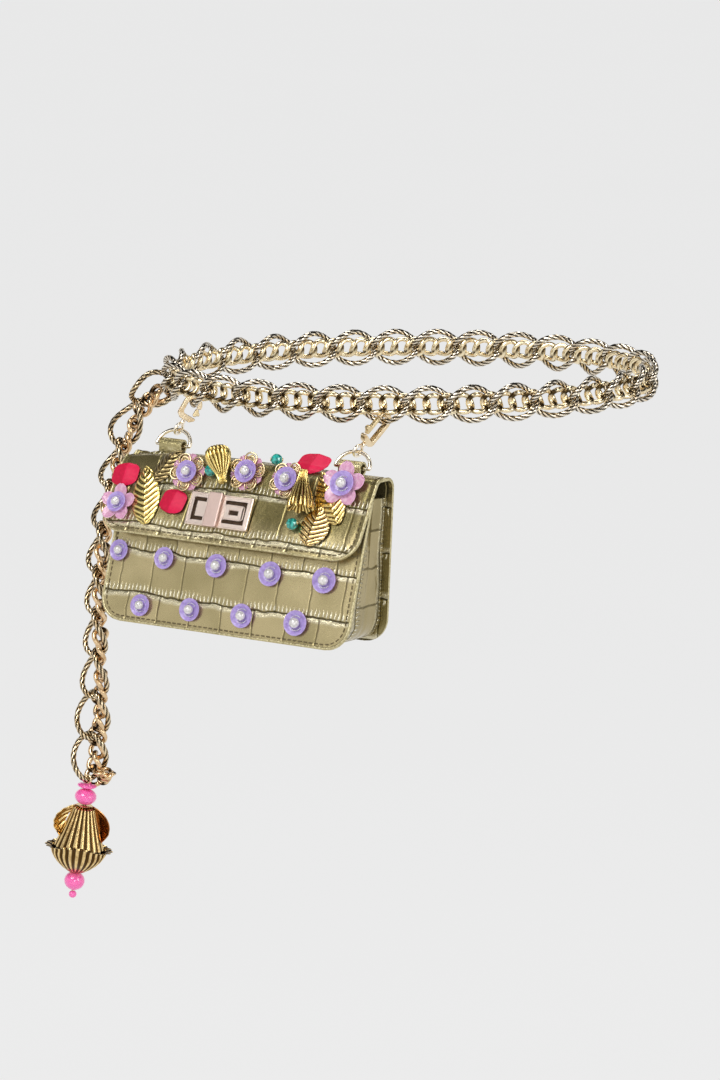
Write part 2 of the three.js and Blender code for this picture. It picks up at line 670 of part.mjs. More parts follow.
function hookBody(side, reach) {
  const { foot } = hookBaseFoot(reach);
  const outer = HOOK_ARCH + HOOK_BAR;
  const shoulder = foot + HOOK_BASE;
  const shape = new THREE.Shape();
  shape.moveTo(-0.6 * outer, foot);
  shape.lineTo(0.6 * outer, foot);
  shape.lineTo(outer, shoulder - 0.4 * HOOK_BASE);
  shape.lineTo(outer, shoulder);
  shape.lineTo(-HOOK_ARCH + 1, shoulder);
  shape.lineTo(-HOOK_ARCH, shoulder + 2);
  shape.absarc(0, 0, HOOK_ARCH, Math.PI, 0, true);
  shape.lineTo(HOOK_ARCH, -HOOK_TIP);
  shape.lineTo(outer - 0.6, -HOOK_TIP);
  shape.absarc(0, 0, outer, 0, Math.PI, false);
  shape.lineTo(-outer, shoulder);
  shape.lineTo(-0.6 * outer, foot);
  const body = new THREE.ExtrudeGeometry(shape, { depth: HOOK_THICK, bevelEnabled: false, curveSegments: 4 });
  body.translate(0, 0, -HOOK_THICK / 2);
  return named(`hook_${side}`, body, MATERIALS.gold);
}

function gatePivot(reach) {
  const { foot } = hookBaseFoot(reach);
  return new THREE.Vector3(HOOK_ARCH + GATE_WIDTH / 2, foot + HOOK_BASE + CLEAR + 0.7 * GATE_WIDTH, 0);
}

// The sprung gate, drawn about its own pivot
function hookGate(side, reach) {
  const pivot = gatePivot(reach);
  const half = GATE_WIDTH / 2;
  const top = -HOOK_TIP - CLEAR - pivot.y;
  const thumb = Math.min(GATE_THUMB, 0.4 * top);
  const shape = new THREE.Shape();
  shape.moveTo(-half, -half);
  shape.lineTo(half, -half);
  shape.lineTo(half + thumb, 0.4 * thumb);
  shape.lineTo(half + 0.7 * thumb, 1.4 * thumb);
  shape.lineTo(half, 1.8 * thumb);
  shape.lineTo(half, top);
  shape.lineTo(-half, top);
  shape.lineTo(-half, -half);
  const gate = new THREE.ExtrudeGeometry(shape, { depth: GATE_THICK, bevelEnabled: false });
  gate.translate(0, 0, -GATE_THICK / 2);
  const mesh = named(`gate_${side}`, gate, MATERIALS.gold);
  mesh.position.copy(pivot);
  return mesh;
}

// The swivel eye that holds the D ring, with its post up to the hook
function swivelEye(side, bag) {
  const { up, bend, reach } = hookLine(side, bag);
  const { eyeMiddle, foot } = hookBaseFoot(reach);
  const ringLine = new THREE.Vector3().setFromMatrixColumn(bag.matrix, 0);
  const { side: flat, across } = squareTo(up, ringLine);
  const eye = new THREE.TorusGeometry(EYE_HOLE + EYE_WIRE, EYE_WIRE, WIRE_SIDES, LINK_STEPS);
  eye.translate(0, eyeMiddle, 0);
  const postFoot = eyeMiddle + EYE_HOLE + EYE_WIRE;
  const postTop = foot - CLEAR;
  const post = new THREE.CylinderGeometry(EYE_POST, EYE_POST, postTop - postFoot, 8);
  post.translate(0, (postTop + postFoot) / 2, 0);
  const group = frameOf(flat, up, across, bend);
  group.add(named(`swivel_eye_${side}`, fuse([eye, post]), MATERIALS.gold));
  return group;
}

function snapHook(side, bag) {
  const { reach } = hookLine(side, bag);
  const hook = hookFrame(side, bag);
  hook.add(hookBody(side, reach), hookGate(side, reach));
  return [hook, swivelEye(side, bag)];
}

// Turn lock

// A square slot that opens towards the turn, from its outer side to its inner ends
function slotTool(outer, inner) {
  const high = LOCK_HEIGHT / 2 - LOCK_BORDER;
  const thin = 0.7 * LOCK_SLOT;
  const back = outer - Math.sign(outer) * LOCK_SLOT;
  const corners = [
    [outer, -high],
    [inner, -high],
    [inner, -high + thin],
    [back, -high + thin],
    [back, high - thin],
    [inner, high - thin],
    [inner, high],
    [outer, high],
  ];
  const shape = new THREE.Shape(corners.map(([x, y]) => new THREE.Vector2(x, y)));
  const tool = new THREE.ExtrudeGeometry(shape, { depth: 3 * LOCK_THICK, bevelEnabled: false });
  return tool.translate(0, 0, -LOCK_THICK);
}

function lockPlate() {
  const plate = new THREE.BoxGeometry(LOCK_WIDTH, LOCK_HEIGHT, LOCK_THICK).translate(0, 0, LOCK_THICK / 2);
  const reach = LOCK_WIDTH / 2 - LOCK_BORDER;
  const beside = TURN_WIDTH / 2 + 1.4;
  const bore = new THREE.CylinderGeometry(TURN_POST + CLEAR, TURN_POST + CLEAR, 3 * LOCK_THICK, 8);
  bore.rotateX(Math.PI / 2).translate(TURN_OFFSET, 0, 0);
  const tools = [slotTool(-reach, TURN_OFFSET - beside), slotTool(reach, TURN_OFFSET + beside), bore];
  const seat = onFlap(LOCK_PLACE, CLEAR);
  seat.add(named("lock_plate", cut(plate, tools), MATERIALS.roseGold));
  return seat;
}

function lockTurn() {
  const slab = new THREE.BoxGeometry(TURN_WIDTH, TURN_LENGTH, TURN_THICK);
  slab.translate(0, 0, LOCK_THICK + CLEAR + TURN_THICK / 2);
  const post = new THREE.CylinderGeometry(TURN_POST, TURN_POST, LOCK_THICK + TURN_THICK, 8);
  post.rotateX(Math.PI / 2).translate(0, 0, (LOCK_THICK + TURN_THICK) / 2);
  const seat = onFlap(LOCK_PLACE, CLEAR);
  const mesh = named("lock_turn", fuse([slab, post]), MATERIALS.roseGold);
  mesh.position.set(TURN_OFFSET, 0, 0);
  seat.add(mesh);
  return seat;
}

// Sewn pieces

// A shallow lilac cup with a pearl stitched into it
function sequinGeometry() {
  const profilePoints = [
    [0, 0],
    [0.7 * SEQUIN_RADIUS, 0],
    [SEQUIN_RADIUS, SEQUIN_RIM],
    [PEARL_RADIUS, 0.5 * SEQUIN_RIM + 0.3],
    [0.9 * PEARL_RADIUS, 0.75 * SEQUIN_HEIGHT],
    [0, SEQUIN_HEIGHT],
  ];
  const points = profilePoints.map(([radius, height]) => new THREE.Vector2(radius, height));
  return new THREE.LatheGeometry(points, ROUND_SIDES).rotateX(Math.PI / 2);
}

function frontSequins() {
  return FRONT_SEQUINS.map((place, i) => {
    const seat = onFront(place, CLEAR);
    seat.add(named(`front_sequin_${i + 1}`, sequinGeometry(), MATERIALS.lilac));
    return seat;
  });
}

const PETAL_POINTS = 4;

// Flat petals cut from one sheet
function petalSheet(radius) {
  const shape = new THREE.Shape();
  const count = PETAL_COUNT * PETAL_POINTS;
  for (let i = 0; i < count; i++) {
    const angle = (2 * Math.PI * i) / count;
    const lobe = Math.abs(Math.cos((PETAL_COUNT * angle) / 2));
    const reach = radius * (PETAL_VALLEY + (1 - PETAL_VALLEY) * Math.sqrt(lobe));
    const x = reach * Math.cos(angle);
    const y = reach * Math.sin(angle);
    if (i === 0) shape.moveTo(x, y);
    else shape.lineTo(x, y);
  }
  shape.closePath();
  return new THREE.ExtrudeGeometry(shape, { depth: SHEET_METAL, bevelEnabled: false });
}

// A flower: pink petals on a stitched stem, filigree petals on some, and a sequin with its pearl
function flower(spec) {
  const seat = onFlap(spec, CLEAR);
  const stem = spec.lift - CLEAR;
  const petals = petalSheet(spec.radius).translate(0, 0, stem);
  const parts = [petals];
  if (stem > 0) {
    const height = stem + SHEET_METAL / 2;
    const column = new THREE.CylinderGeometry(PEARL_RADIUS, PEARL_RADIUS, height, 8);
    parts.push(column.rotateX(Math.PI / 2).translate(0, 0, height / 2));
  }
  seat.add(named(`petals_${spec.name}`, fuse(parts), MATERIALS.pinkPetal));
  let level = stem + SHEET_METAL + CLEAR;
  if (spec.filigree > 0) {
    const gold = petalSheet(spec.filigree).rotateZ(Math.PI / PETAL_COUNT).translate(0, 0, level);
    seat.add(named(`filigree_${spec.name}`, gold, MATERIALS.gold));
    level += SHEET_METAL + CLEAR;
  }
  const disc = sequinGeometry().translate(0, 0, level);
  seat.add(named(`flower_disc_${spec.name}`, disc, MATERIALS.lilac));
  return seat;
}

// A folded blade, pointed or round at its ends: width at share t of its length comes from outline
function bladeGeometry(width, length, ridge, outline, rows) {
  const place = (across, row, through) => {
    const share = row / rows;
    const half = 0.5 * width * outline(share);
    const fold = ridge * outline(share) * (1 - Math.abs(across));
    return new THREE.Vector3(across * half, (share - 0.5) * length, through * SHEET_METAL + fold);
  };
  return sheet(2, rows, place);
}

const leafOutline = (share) => 0.08 + 0.92 * Math.sin(Math.PI * share ** 0.8) ** 0.8;
const roundOutline = (share) => 0.3 + 0.7 * Math.sqrt(Math.max(0, 1 - (2 * share - 1) ** 2));

function leaves() {
  return LEAVES.map((spec) => {
    const seat = onFlap(spec, spec.lift);
    const blade = bladeGeometry(spec.width, spec.length, LEAF_RIDGE, leafOutline, 5);
    const material = spec.name === "dark" ? MATERIALS.darkGold : MATERIALS.gold;
    seat.add(named(`leaf_${spec.name}`, blade, material));
    return seat;
  });
}

function redPetals() {
  return RED_PETALS.map((spec) => {
    const seat = onFlap(spec, spec.lift);
    const blade = bladeGeometry(spec.width, spec.length, RED_RIDGE, roundOutline, 4);
    seat.add(named(`red_petal_${spec.name}`, blade, MATERIALS.red));
    return seat;
  });
}

// Fluted bell beads that lie on the flap, narrow end down unless turned round
function bells() {
  const sides = 16;
  return BELLS.map((spec) => {
    const seat = onFlap(spec, spec.wide + FLUTE_DEPTH + CLEAR);
    const low = -spec.down * spec.length;
    const profilePoints = [
      [0, low],
      [spec.small, low],
      [0.8 * spec.wide, low + 0.6 * spec.length],
      [spec.wide, low + (1 - 0.4 * spec.flare) * spec.length],
      [0.6 * spec.wide, low + spec.length],
      [0, low + spec.length],
    ];
    const points = profilePoints.map(([radius, height]) => new THREE.Vector2(radius, height));
    const bell = fluted(new THREE.LatheGeometry(points, sides), sides / 2, FLUTE_DEPTH, spec.small / 2);
    seat.add(named(`bell_bead_${spec.name}`, bell, MATERIALS.gold));
    return seat;
  });
}

function tealBeads() {
  return TEAL_BEADS.map((spec) => {
    const seat = onFlap(spec, TEAL_RADIUS + CLEAR);
    seat.add(named(`teal_bead_${spec.name}`, new THREE.SphereGeometry(TEAL_RADIUS, ROUND_SIDES, 5), MATERIALS.teal));
    return seat;
  });
}

// Pendant

const BORE = PIN_RADIUS + CLEAR;

// A drilled round bead from the height top down
function beadGeometry(radius, height, top) {
  const rows = 4;
  const points = [];
  for (let i = 0; i <= rows; i++) {
    const angle = (Math.PI * i) / rows;
    points.push([Math.max(BORE, radius * Math.sin(angle)), top - height / 2 - (height / 2) * Math.cos(angle)]);
  }
  return turned(points, ROUND_SIDES);
}

function coneGeometry(top) {
  const foot = top - CONE_HEIGHT;
  const points = [
    [BORE, top - METAL_WALL],
    [CONE_TOP - METAL_WALL, top - METAL_WALL],
    [CONE_BOTTOM - METAL_WALL, foot],
    [CONE_BOTTOM, foot],
    [CONE_TOP, top],
    [BORE, top],
  ];
  return fluted(turned(points, 2 * CONE_FLUTES), CONE_FLUTES, FLUTE_DEPTH / 2, 2 * BORE);
}

function cupGeometry(top) {
  const foot = top - CUP_HEIGHT;
  const belly = foot + 0.45 * CUP_HEIGHT;
  const neck = foot + 0.8 * CUP_HEIGHT;
  const points = [
    [BORE, foot],
    [CUP_FOOT, foot],
    [0.86 * CUP_RADIUS, belly],
    [CUP_RADIUS, neck],
    [CUP_RIM, top],
    [CUP_RADIUS - METAL_WALL, neck],
    [0.86 * CUP_RADIUS - METAL_WALL, belly],
    [CUP_FOOT - 0.2, foot + METAL_WALL],
    [BORE, foot + METAL_WALL],
  ];
  return fluted(turned(points, 2 * CUP_FLUTES), CUP_FLUTES, FLUTE_DEPTH / 2, 2 * BORE);
}

// Two curved blades on a collar, one on each side of the cone
function sidePetalsGeometry(top) {
  const collar = turned(
    [
      [BORE, top - COLLAR_HEIGHT],
      [COLLAR_RADIUS, top - COLLAR_HEIGHT],
      [COLLAR_RADIUS, top],
      [BORE, top],
    ],
    ROUND_SIDES,
  );
  const blades = SIDE_PETALS.map(({ turn, length, width, flare }) => {
    const rows = 7;
    const start = COLLAR_RADIUS - 1;
    const place = (across, row, through) => {
      const share = row / rows;
      const out = start + (flare - start) * Math.sqrt(share);
      const half = 0.5 * width * (0.35 + 0.65 * Math.sin(Math.PI * (0.15 + 0.75 * share)));
      const drop = top - COLLAR_HEIGHT * (1 - through) - length * share ** 2;
      return new THREE.Vector3(out + COLLAR_HEIGHT * (through - 0.5) * share, drop, across * half);
    };
    return sheet(2, rows, place).rotateY(rad(turn));
  });
  return fuse([collar, ...blades]);
}

function pinGeometry(foot) {
  const eye = new THREE.TorusGeometry(PIN_EYE + PIN_EYE_WIRE, PIN_EYE_WIRE, WIRE_SIDES, LINK_STEPS);
  const eyeMiddle = LINK_WIRE + CLEAR - PIN_EYE;
  eye.translate(0, eyeMiddle, 0);
  const start = eyeMiddle - PIN_EYE - PIN_EYE_WIRE;
  const shaft = new THREE.CylinderGeometry(PIN_RADIUS, PIN_RADIUS, start - foot + END_BEAD, 6);
  shaft.translate(0, (start + foot - END_BEAD) / 2, 0);
  const head = new THREE.SphereGeometry(END_BEAD, ROUND_SIDES, 4).translate(0, foot - END_BEAD, 0);
  return fuse([eye, shaft, head]);
}

// The pendant's frame: its origin on the last link's wire, Y up the pin, Z along the wire
function pendantFrame() {
  const last = tailFrame(TAIL_LINKS - 1);
  const twist = rad(LINK_TWIST);
  const hold = new THREE.Vector3(FUSED_HALF_LENGTH, 0, 0).applyMatrix4(last);
  const wire = new THREE.Vector3(0, Math.cos(twist), -Math.sin(twist)).transformDirection(last);
  const up = new THREE.Vector3(Math.sin(rad(PENDANT_LEAN)), 0, Math.cos(rad(PENDANT_LEAN)));
  const { side, across } = squareTo(up, wire);
  return frameOf(side, up, across, hold);
}

function pendant() {
  const group = pendantFrame();
  const spread = new THREE.Group(); // turned so that the side petals lie left and right in front view
  spread.rotation.y = rad(LINK_TWIST);
  let level = LINK_WIRE + CLEAR - 2 * PIN_EYE - 2 * PIN_EYE_WIRE - CLEAR;
  for (const { name, radius, height } of BEAD_STACK) {
    group.add(named(`pendant_${name}`, beadGeometry(radius, height, level), MATERIALS.pink));
    level -= height + CLEAR;
  }
  spread.add(named("pendant_side_petals", sidePetalsGeometry(level), MATERIALS.darkGold));
  level -= COLLAR_HEIGHT + CLEAR;
  group.add(named("pendant_cone", coneGeometry(level), MATERIALS.darkGold));
  const cupTop = level - CONE_HEIGHT + CUP_OVERLAP;
  group.add(named("pendant_cup", cupGeometry(cupTop), MATERIALS.gold));
  const beadTop = cupTop - CUP_HEIGHT - CLEAR;
  const lower = beadGeometry(LOWER_BEAD.radius, LOWER_BEAD.height, beadTop);
  group.add(named("pendant_lower_bead", lower, MATERIALS.pink));
  const pin = pinGeometry(beadTop - LOWER_BEAD.height - CLEAR);
  group.add(named("pendant_pin", pin, MATERIALS.pink), spread);
  return group;
}

// The whole bag

function bagBody() {
  const bag = new THREE.Group();
  bag.position.set(...BAG_PLACE);
  bag.rotation.set(rad(BAG_PITCH), rad(BAG_ROLL), rad(BAG_YAW), "ZXY");
  bag.updateMatrix();
  bag.add(backAndFlap(), frontPanel(), gusset());
  for (const side of ["left", "right"]) bag.add(dRing(side), ringTab(side));
  bag.add(lockPlate(), lockTurn(), ...frontSequins(), ...FLOWERS.map(flower));
  bag.add(...leaves(), ...redPetals(), ...bells(), ...tealBeads());
  return bag;
}

const beltBag = new THREE.Group();
const bag = bagBody();
beltBag.add(bag, beltChain(), closureRing(), tailChain(), innerChain(), pendant());
beltBag.add(...snapHook("left", bag), ...snapHook("right", bag));

export default beltBag;
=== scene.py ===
# %% [markdown]
# # A chain belt with a small flap bag
#
# The bag is pressed leather with a metallic face. Sequins, petals and metal leaves are sewn on it, and it
# hangs by two snap hooks from a double chain. The hard sizes were settled in the CAD model, so this script
# loads that model first and dresses it. A piece that needs more detail than the CAD solid is modelled again
# here with Blender's own tools, on the same sizes.

from bisect import bisect_left
from math import acos, atan, atan2, cos, exp, hypot, pi, radians, sin, sqrt, tan

import bpy
from mathutils import Matrix, Vector


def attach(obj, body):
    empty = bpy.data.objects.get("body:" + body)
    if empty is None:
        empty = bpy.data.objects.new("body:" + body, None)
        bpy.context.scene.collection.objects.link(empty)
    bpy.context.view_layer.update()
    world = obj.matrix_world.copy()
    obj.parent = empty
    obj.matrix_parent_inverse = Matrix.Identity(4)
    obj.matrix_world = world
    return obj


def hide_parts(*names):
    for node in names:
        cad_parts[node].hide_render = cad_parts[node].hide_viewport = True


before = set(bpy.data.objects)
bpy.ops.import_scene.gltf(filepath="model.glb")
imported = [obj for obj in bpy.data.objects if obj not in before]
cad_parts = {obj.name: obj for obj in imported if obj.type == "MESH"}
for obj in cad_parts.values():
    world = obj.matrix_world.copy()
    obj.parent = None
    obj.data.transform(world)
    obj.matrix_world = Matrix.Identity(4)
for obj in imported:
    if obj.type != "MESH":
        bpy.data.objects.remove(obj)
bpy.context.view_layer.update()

# %% [markdown]
# The photograph was taken from a little above, so the near and the far side of the loop show as two rows.
# A long lens far away keeps the rows parallel. The camera is aimed at the middle of the loop, and a small
# shift puts that middle where it lies in the picture, without turning the camera.

# %% Camera
PICTURE = (720, 1080)
LOOP_AT = (410, 375)  # the middle of the loop in the picture
DISTANCE = 3.0
LOOK_DOWN = radians(10)
camera_data = bpy.data.cameras.new("camera")
camera_data.lens = 175
camera_data.sensor_width = 36
camera_data.shift_x = (PICTURE[0] / 2 - LOOP_AT[0]) / PICTURE[1]
camera_data.shift_y = (LOOP_AT[1] - PICTURE[1] / 2) / PICTURE[1]
camera_data.clip_end = 50
camera = bpy.data.objects.new("camera", camera_data)
bpy.context.scene.collection.objects.link(camera)
camera.location = (0, -DISTANCE * cos(LOOK_DOWN), DISTANCE * sin(LOOK_DOWN))
camera.rotation_euler = (pi / 2 - LOOK_DOWN, 0, 0)
bpy.context.scene.camera = camera

# %% [markdown]
# Polished metal shows what is around it. Large soft lamps give it broad highlights, and dark screens between
# them give it dark lines, so the room is pale up to a little above the floor and dark from there on. The floor
# lies well below the piece, so that it stays plain. Colours are shown as they are, without a film curve.

# %% Floor and light
LAMPS_LOOK_AT = Vector((-0.05, -0.03, -0.1))


def lamp(name, place, size, power):
    data = bpy.data.lights.new(name, "AREA")
    data.shape = "RECTANGLE"
    data.size, data.size_y = size
    data.energy = power
    light = bpy.data.objects.new(name, data)
    bpy.context.scene.collection.objects.link(light)
    light.location = place
    light.rotation_euler = (LAMPS_LOOK_AT - Vector(place)).to_track_quat("-Z", "Y").to_euler()


lamp("key_lamp", (-1.1, -1.5, 1.7), (1.3, 1.1), 34)
lamp("fill_lamp", (1.7, -1.4, 0.8), (0.5, 1.6), 13)
lamp("top_lamp", (0.2, 0.5, 1.9), (1.8, 0.5), 16)
lamp("front_lamp", (0.1, -2.6, 0.35), (0.35, 0.9), 5)
bpy.context.scene.view_settings.view_transform = "Standard"
world = bpy.data.worlds.new("studio")
bpy.context.scene.world = world
world.use_nodes = True
room = world.node_tree
direction = room.nodes.new("ShaderNodeTexCoord")
height = room.nodes.new("ShaderNodeSeparateXYZ")
screens = room.nodes.new("ShaderNodeValToRGB")
# how high the direction points, and the brightness there
ROOM_BANDS = ((0.0, 0.8), (0.4, 0.8), (0.47, 0.04), (0.75, 0.02), (0.93, 0.3))
while len(screens.color_ramp.elements) < len(ROOM_BANDS):
    screens.color_ramp.elements.new(1.0)
for element, (place, bright) in zip(screens.color_ramp.elements, ROOM_BANDS):
    element.position = place
    element.color = (bright, bright, bright, 1)
room.links.new(direction.outputs["Generated"], height.inputs[0])
room.links.new(height.outputs[2], screens.inputs[0])
room.links.new(screens.outputs[0], room.nodes["Background"].inputs["Color"])

FLOOR_LEVEL = -0.75
bpy.ops.mesh.primitive_plane_add(size=80, location=(0, 0, FLOOR_LEVEL))
floor = bpy.context.active_object
floor.name = "floor"

# %% [markdown]
# A material's patterns are sums and products of sockets. A small class lets them be written as ordinary
# Python: an expression on signals adds its Math nodes, and one method adds every other kind of node. The
# signs and words in the table below each stand for one Math node.

# %% Shader maths
class Signal:
    def __init__(self, finish, socket):
        self.finish = finish
        self.socket = socket

    def maths(self, operation, *values):
        return self.finish.node("Math", {"operation": operation}, dict(enumerate(values)))

    def __rsub__(self, other):
        return self.maths("SUBTRACT", other, self)

    def step(self, low, high):
        """0 below low and 1 above high, with a smooth rise between them"""
        settings = {"interpolation_type": "SMOOTHSTEP"}
        return self.finish.node("MapRange", settings, {0: self, 1: low, 2: high, 3: 0.0, 4: 1.0})


def give_signals(method, operation):
    setattr(Signal, method, lambda self, *others: self.maths(operation, self, *others))


OPERATIONS = {
    "__add__": "ADD", "__radd__": "ADD", "__sub__": "SUBTRACT", "__mul__": "MULTIPLY", "__rmul__": "MULTIPLY",
    "__truediv__": "DIVIDE", "floor": "FLOOR", "fract": "FRACT", "wave": "SINE", "least": "MINIMUM",
    "most": "MAXIMUM",
}
for method, operation in OPERATIONS.items():
    give_signals(method, operation)

GROOVE = "groove"  # a value that some meshes carry at their points


class Finish:
    def __init__(self, name):
        self.material = bpy.data.materials.new(name)
        self.material.use_nodes = True
        self.tree = self.material.node_tree
        self.shader = self.tree.nodes["Principled BSDF"]

    def node(self, kind, settings=None, sockets=None, output=0):
        node = self.tree.nodes.new("ShaderNode" + kind)
        for key, value in (settings or {}).items():
            if key == "stops":
                self.set_stops(node.color_ramp, value)
            else:
                setattr(node, key, value)
        for key, value in (sockets or {}).items():
            self.feed(node.inputs[key], value)
        return Signal(self, node.outputs[output])

    def set_stops(self, ramp, stops):
        while len(ramp.elements) > 1:
            ramp.elements.remove(ramp.elements[-1])
        for i, (place, colour) in enumerate(stops):
            element = ramp.elements[0] if i == 0 else ramp.elements.new(place)
            element.position = place
            element.color = (*colour, 1)

    def feed(self, socket, value):
        if isinstance(value, Signal):
            self.tree.links.new(value.socket, socket)
        elif isinstance(value, tuple) and len(value) == 3 and len(socket.default_value) == 4:
            socket.default_value = (*value, 1)
        else:
            socket.default_value = value

    def surface(self, **sockets):
        for key, value in sockets.items():
            self.feed(self.shader.inputs[key.replace("_", " ")], value)
        return self.material

    def place(self):
        """The point on the piece, in millimetres"""
        metres = self.node("TexCoord", output="Object")
        return self.node("VectorMath", {"operation": "SCALE"}, {0: metres, "Scale": 1000.0})

    def groove(self):
        """How deep in a groove the point lies, from 0 on the ridges to 1 at the bottom"""
        return self.node("Attribute", {"attribute_name": GROOVE}, output=2)

    def noise(self, vector, scale, detail):
        return self.node("TexNoise", None, {"Vector": vector, "Scale": scale, "Detail": detail})

    def mix(self, share, first, second):
        return self.node("Mix", {"data_type": "RGBA"}, {0: share, 6: first, 7: second}, 2)

    def ramp(self, share, *stops):
        return self.node("ValToRGB", {"stops": stops}, {0: share})

    def bump(self, height, distance, strength):
        return self.node("Bump", None, {"Strength": strength, "Distance": distance, "Height": height})


# %% [markdown]
# The leather is pressed into rows of tiles, as a hide with large scales is. Wavy creases run along the bag,
# and short upright lines part the tiles between them. Small pleats stand above each crease, and below it
# runs a wrinkled band. The creases and lines are darkened with painted shade, and the pleats and the band are
# lightened with a painted highlight. The pattern needs places on the sheet, not in space, so it reads a UV map
# that measures the leather across and along.

# %% Pressed leather
UV_UNIT = 100  # millimetres of leather to one unit of the UV map
TILE_WIDTH = 20.5
ROW_HEIGHT = 24.8
ROW_SHIFT = 0.37  # each row starts this share of a tile further on
CREASE_WIDTH = (0.1, 0.75)  # where the dark of a crease starts to fade and where it ends
PLEATS = (0.16, 0.28)  # where the pleats end above a crease, as shares of a row
WRINKLES = (0.84, 0.92)  # where the wrinkled band begins, as shares of a row


def pressed_leather(name, shift, light=1.0, dark_reflection_from=None, dull=0.24):
    """The two heights given after light bound where a painted dark reflection turns the tiles from gold to
    olive; dull is the roughness
    """
    f = Finish(name)
    uv = f.node("UVMap", {"uv_map": "leather"})
    across = UV_UNIT * f.node("SeparateXYZ", None, {0: uv}, 0)
    along = UV_UNIT * f.node("SeparateXYZ", None, {0: uv}, 1) + shift
    here = f.node("CombineXYZ", None, {0: across, 1: along})
    slow = f.noise(here, 0.045, 1.0)
    medium = f.noise(here, 0.22, 2.0)
    fine = f.noise(here, 1.6, 3.0)
    level = along / ROW_HEIGHT + 0.24 * slow + 0.07 * medium
    row = level.floor()
    rise = level.fract()
    from_crease = rise.least(1 - rise) * ROW_HEIGHT
    place = across / TILE_WIDTH + row * ROW_SHIFT + 0.1 * f.noise(here, 0.11, 1.0)
    side = place.fract()
    from_line = side.least(1 - side) * TILE_WIDTH
    crease = 1 - from_crease.step(*CREASE_WIDTH)
    line = 1 - from_line.step(*CREASE_WIDTH)
    stretched = f.node("CombineXYZ", None, {0: across * 0.28, 1: along * 1.7})
    wrinkle = f.noise(stretched, 0.9, 3.0)
    band = rise.step(*WRINKLES) * (1 - rise.step(0.985, 1.0))
    pleat_lines = (across * 2.5 + 6 * medium).wave().step(0.3, 0.8)
    pleats = pleat_lines * (1 - (rise + 0.16 * fine).step(*PLEATS)) * rise.step(0.015, 0.04)
    tile_number = f.node("CombineXYZ", None, {0: place.floor(), 1: row})
    tile = f.node("TexWhiteNoise", {"noise_dimensions": "2D"}, {"Vector": tile_number})
    tilt = (tile - 0.5) * (side - 0.5) * 1.2 + (tile - 0.5) * (rise - 0.5) * 0.9
    pillow = from_line.step(0.0, 1.3) * from_crease.step(0.0, 1.8)
    height = (
        pillow * 0.3 + tilt * 0.35 - crease * 0.5 - line * 0.25 + pleats * 0.5
        + band * wrinkle * 0.8 + medium * 0.22 + fine * 0.03
    )
    dark = tuple(light * part for part in (0.075, 0.06, 0.018))
    olive = tuple(light * part for part in (0.24, 0.2, 0.08))
    gold = tuple(light * part for part in (0.56, 0.465, 0.25))
    pale = tuple(light * part for part in (0.98, 0.92, 0.7))
    # painted dark reflection: from the given heights on, the tiles turn from gold towards olive
    deep = along.step(*dark_reflection_from) if dark_reflection_from else 0.0
    # the tiles differ at random between olive and gold: partly the leather's own tone, partly painted
    # reflection of tiles at different tilts
    share = (tile * 0.5 + slow * 0.9 + 0.1 - deep * 0.75).most(0.0).least(1.0)
    colour = f.mix(share, olive, gold)
    # painted highlight: the pleats and the wrinkled band are made pale
    colour = f.mix((pleats + band * wrinkle * 0.9).least(1.0), colour, pale)
    # painted shade: the creases and the tile lines are darkened
    colour = f.mix((crease * 0.9 + line * 0.6).least(1.0), colour, dark)
    rough = dull + fine * 0.08 + (crease + line).least(1.0) * 0.25
    return f.surface(
        Base_Color=colour, Metallic=0.85, Roughness=rough, Normal=f.bump(height, 0.0009, 0.8),
        Specular_IOR_Level=0.5,
    )


def plain_leather():
    """The same leather where it is too narrow for tiles, as on a tab"""
    f = Finish("plain_leather")
    here = f.place()
    cloud = f.noise(here, 0.12, 2.0)
    wrinkle = f.noise(here, 0.8, 3.0)
    colour = f.ramp(cloud, (0.3, (0.3, 0.25, 0.1)), (0.55, (0.58, 0.5, 0.26)), (0.75, (0.85, 0.77, 0.5)))
    normal = f.bump(wrinkle, 0.0005, 0.7)
    return f.surface(Base_Color=colour, Metallic=0.85, Roughness=0.26 + wrinkle * 0.1, Normal=normal)


tab_leather = plain_leather()

# %% [markdown]
# The cut edges are painted in the leather's own gold and rubbed smooth. The thread is a dark twisted one.

# %% Edge paint and thread
def painted_edge():
    f = Finish("painted_edge")
    grain = f.noise(f.place(), 0.9, 3.0)
    colour = f.ramp(grain, (0.3, (0.34, 0.28, 0.12)), (0.7, (0.78, 0.7, 0.43)))
    normal = f.bump(grain, 0.0003, 0.5)
    return f.surface(Base_Color=colour, Metallic=0.75, Roughness=0.26 + grain * 0.2, Normal=normal)


def stitch_thread():
    f = Finish("stitch_thread")
    twist = (f.node("SeparateXYZ", None, {0: f.place()}, 0) * 14).wave()
    colour = f.ramp(twist * 0.5 + 0.5, (0.0, (0.05, 0.035, 0.012)), (1.0, (0.2, 0.15, 0.06)))
    return f.surface(Base_Color=colour, Roughness=0.6, Normal=f.bump(twist, 0.0001, 0.5))


edge_paint = painted_edge()
thread = stitch_thread()

# %% [markdown]
# The metals are one idea in several tones: a plated surface with fine specks, soft stains where it is
# handled, and a roughness that changes a little from place to place. The tone of the stain is darker and
# warmer than the plate, as lacquer over brass is. A mesh with grooves also carries a value that says how deep
# in a groove each point lies, and the metal is painted dark there: partly old polish held in the hollows,
# partly painted shade that gives the ribs their dark lines.

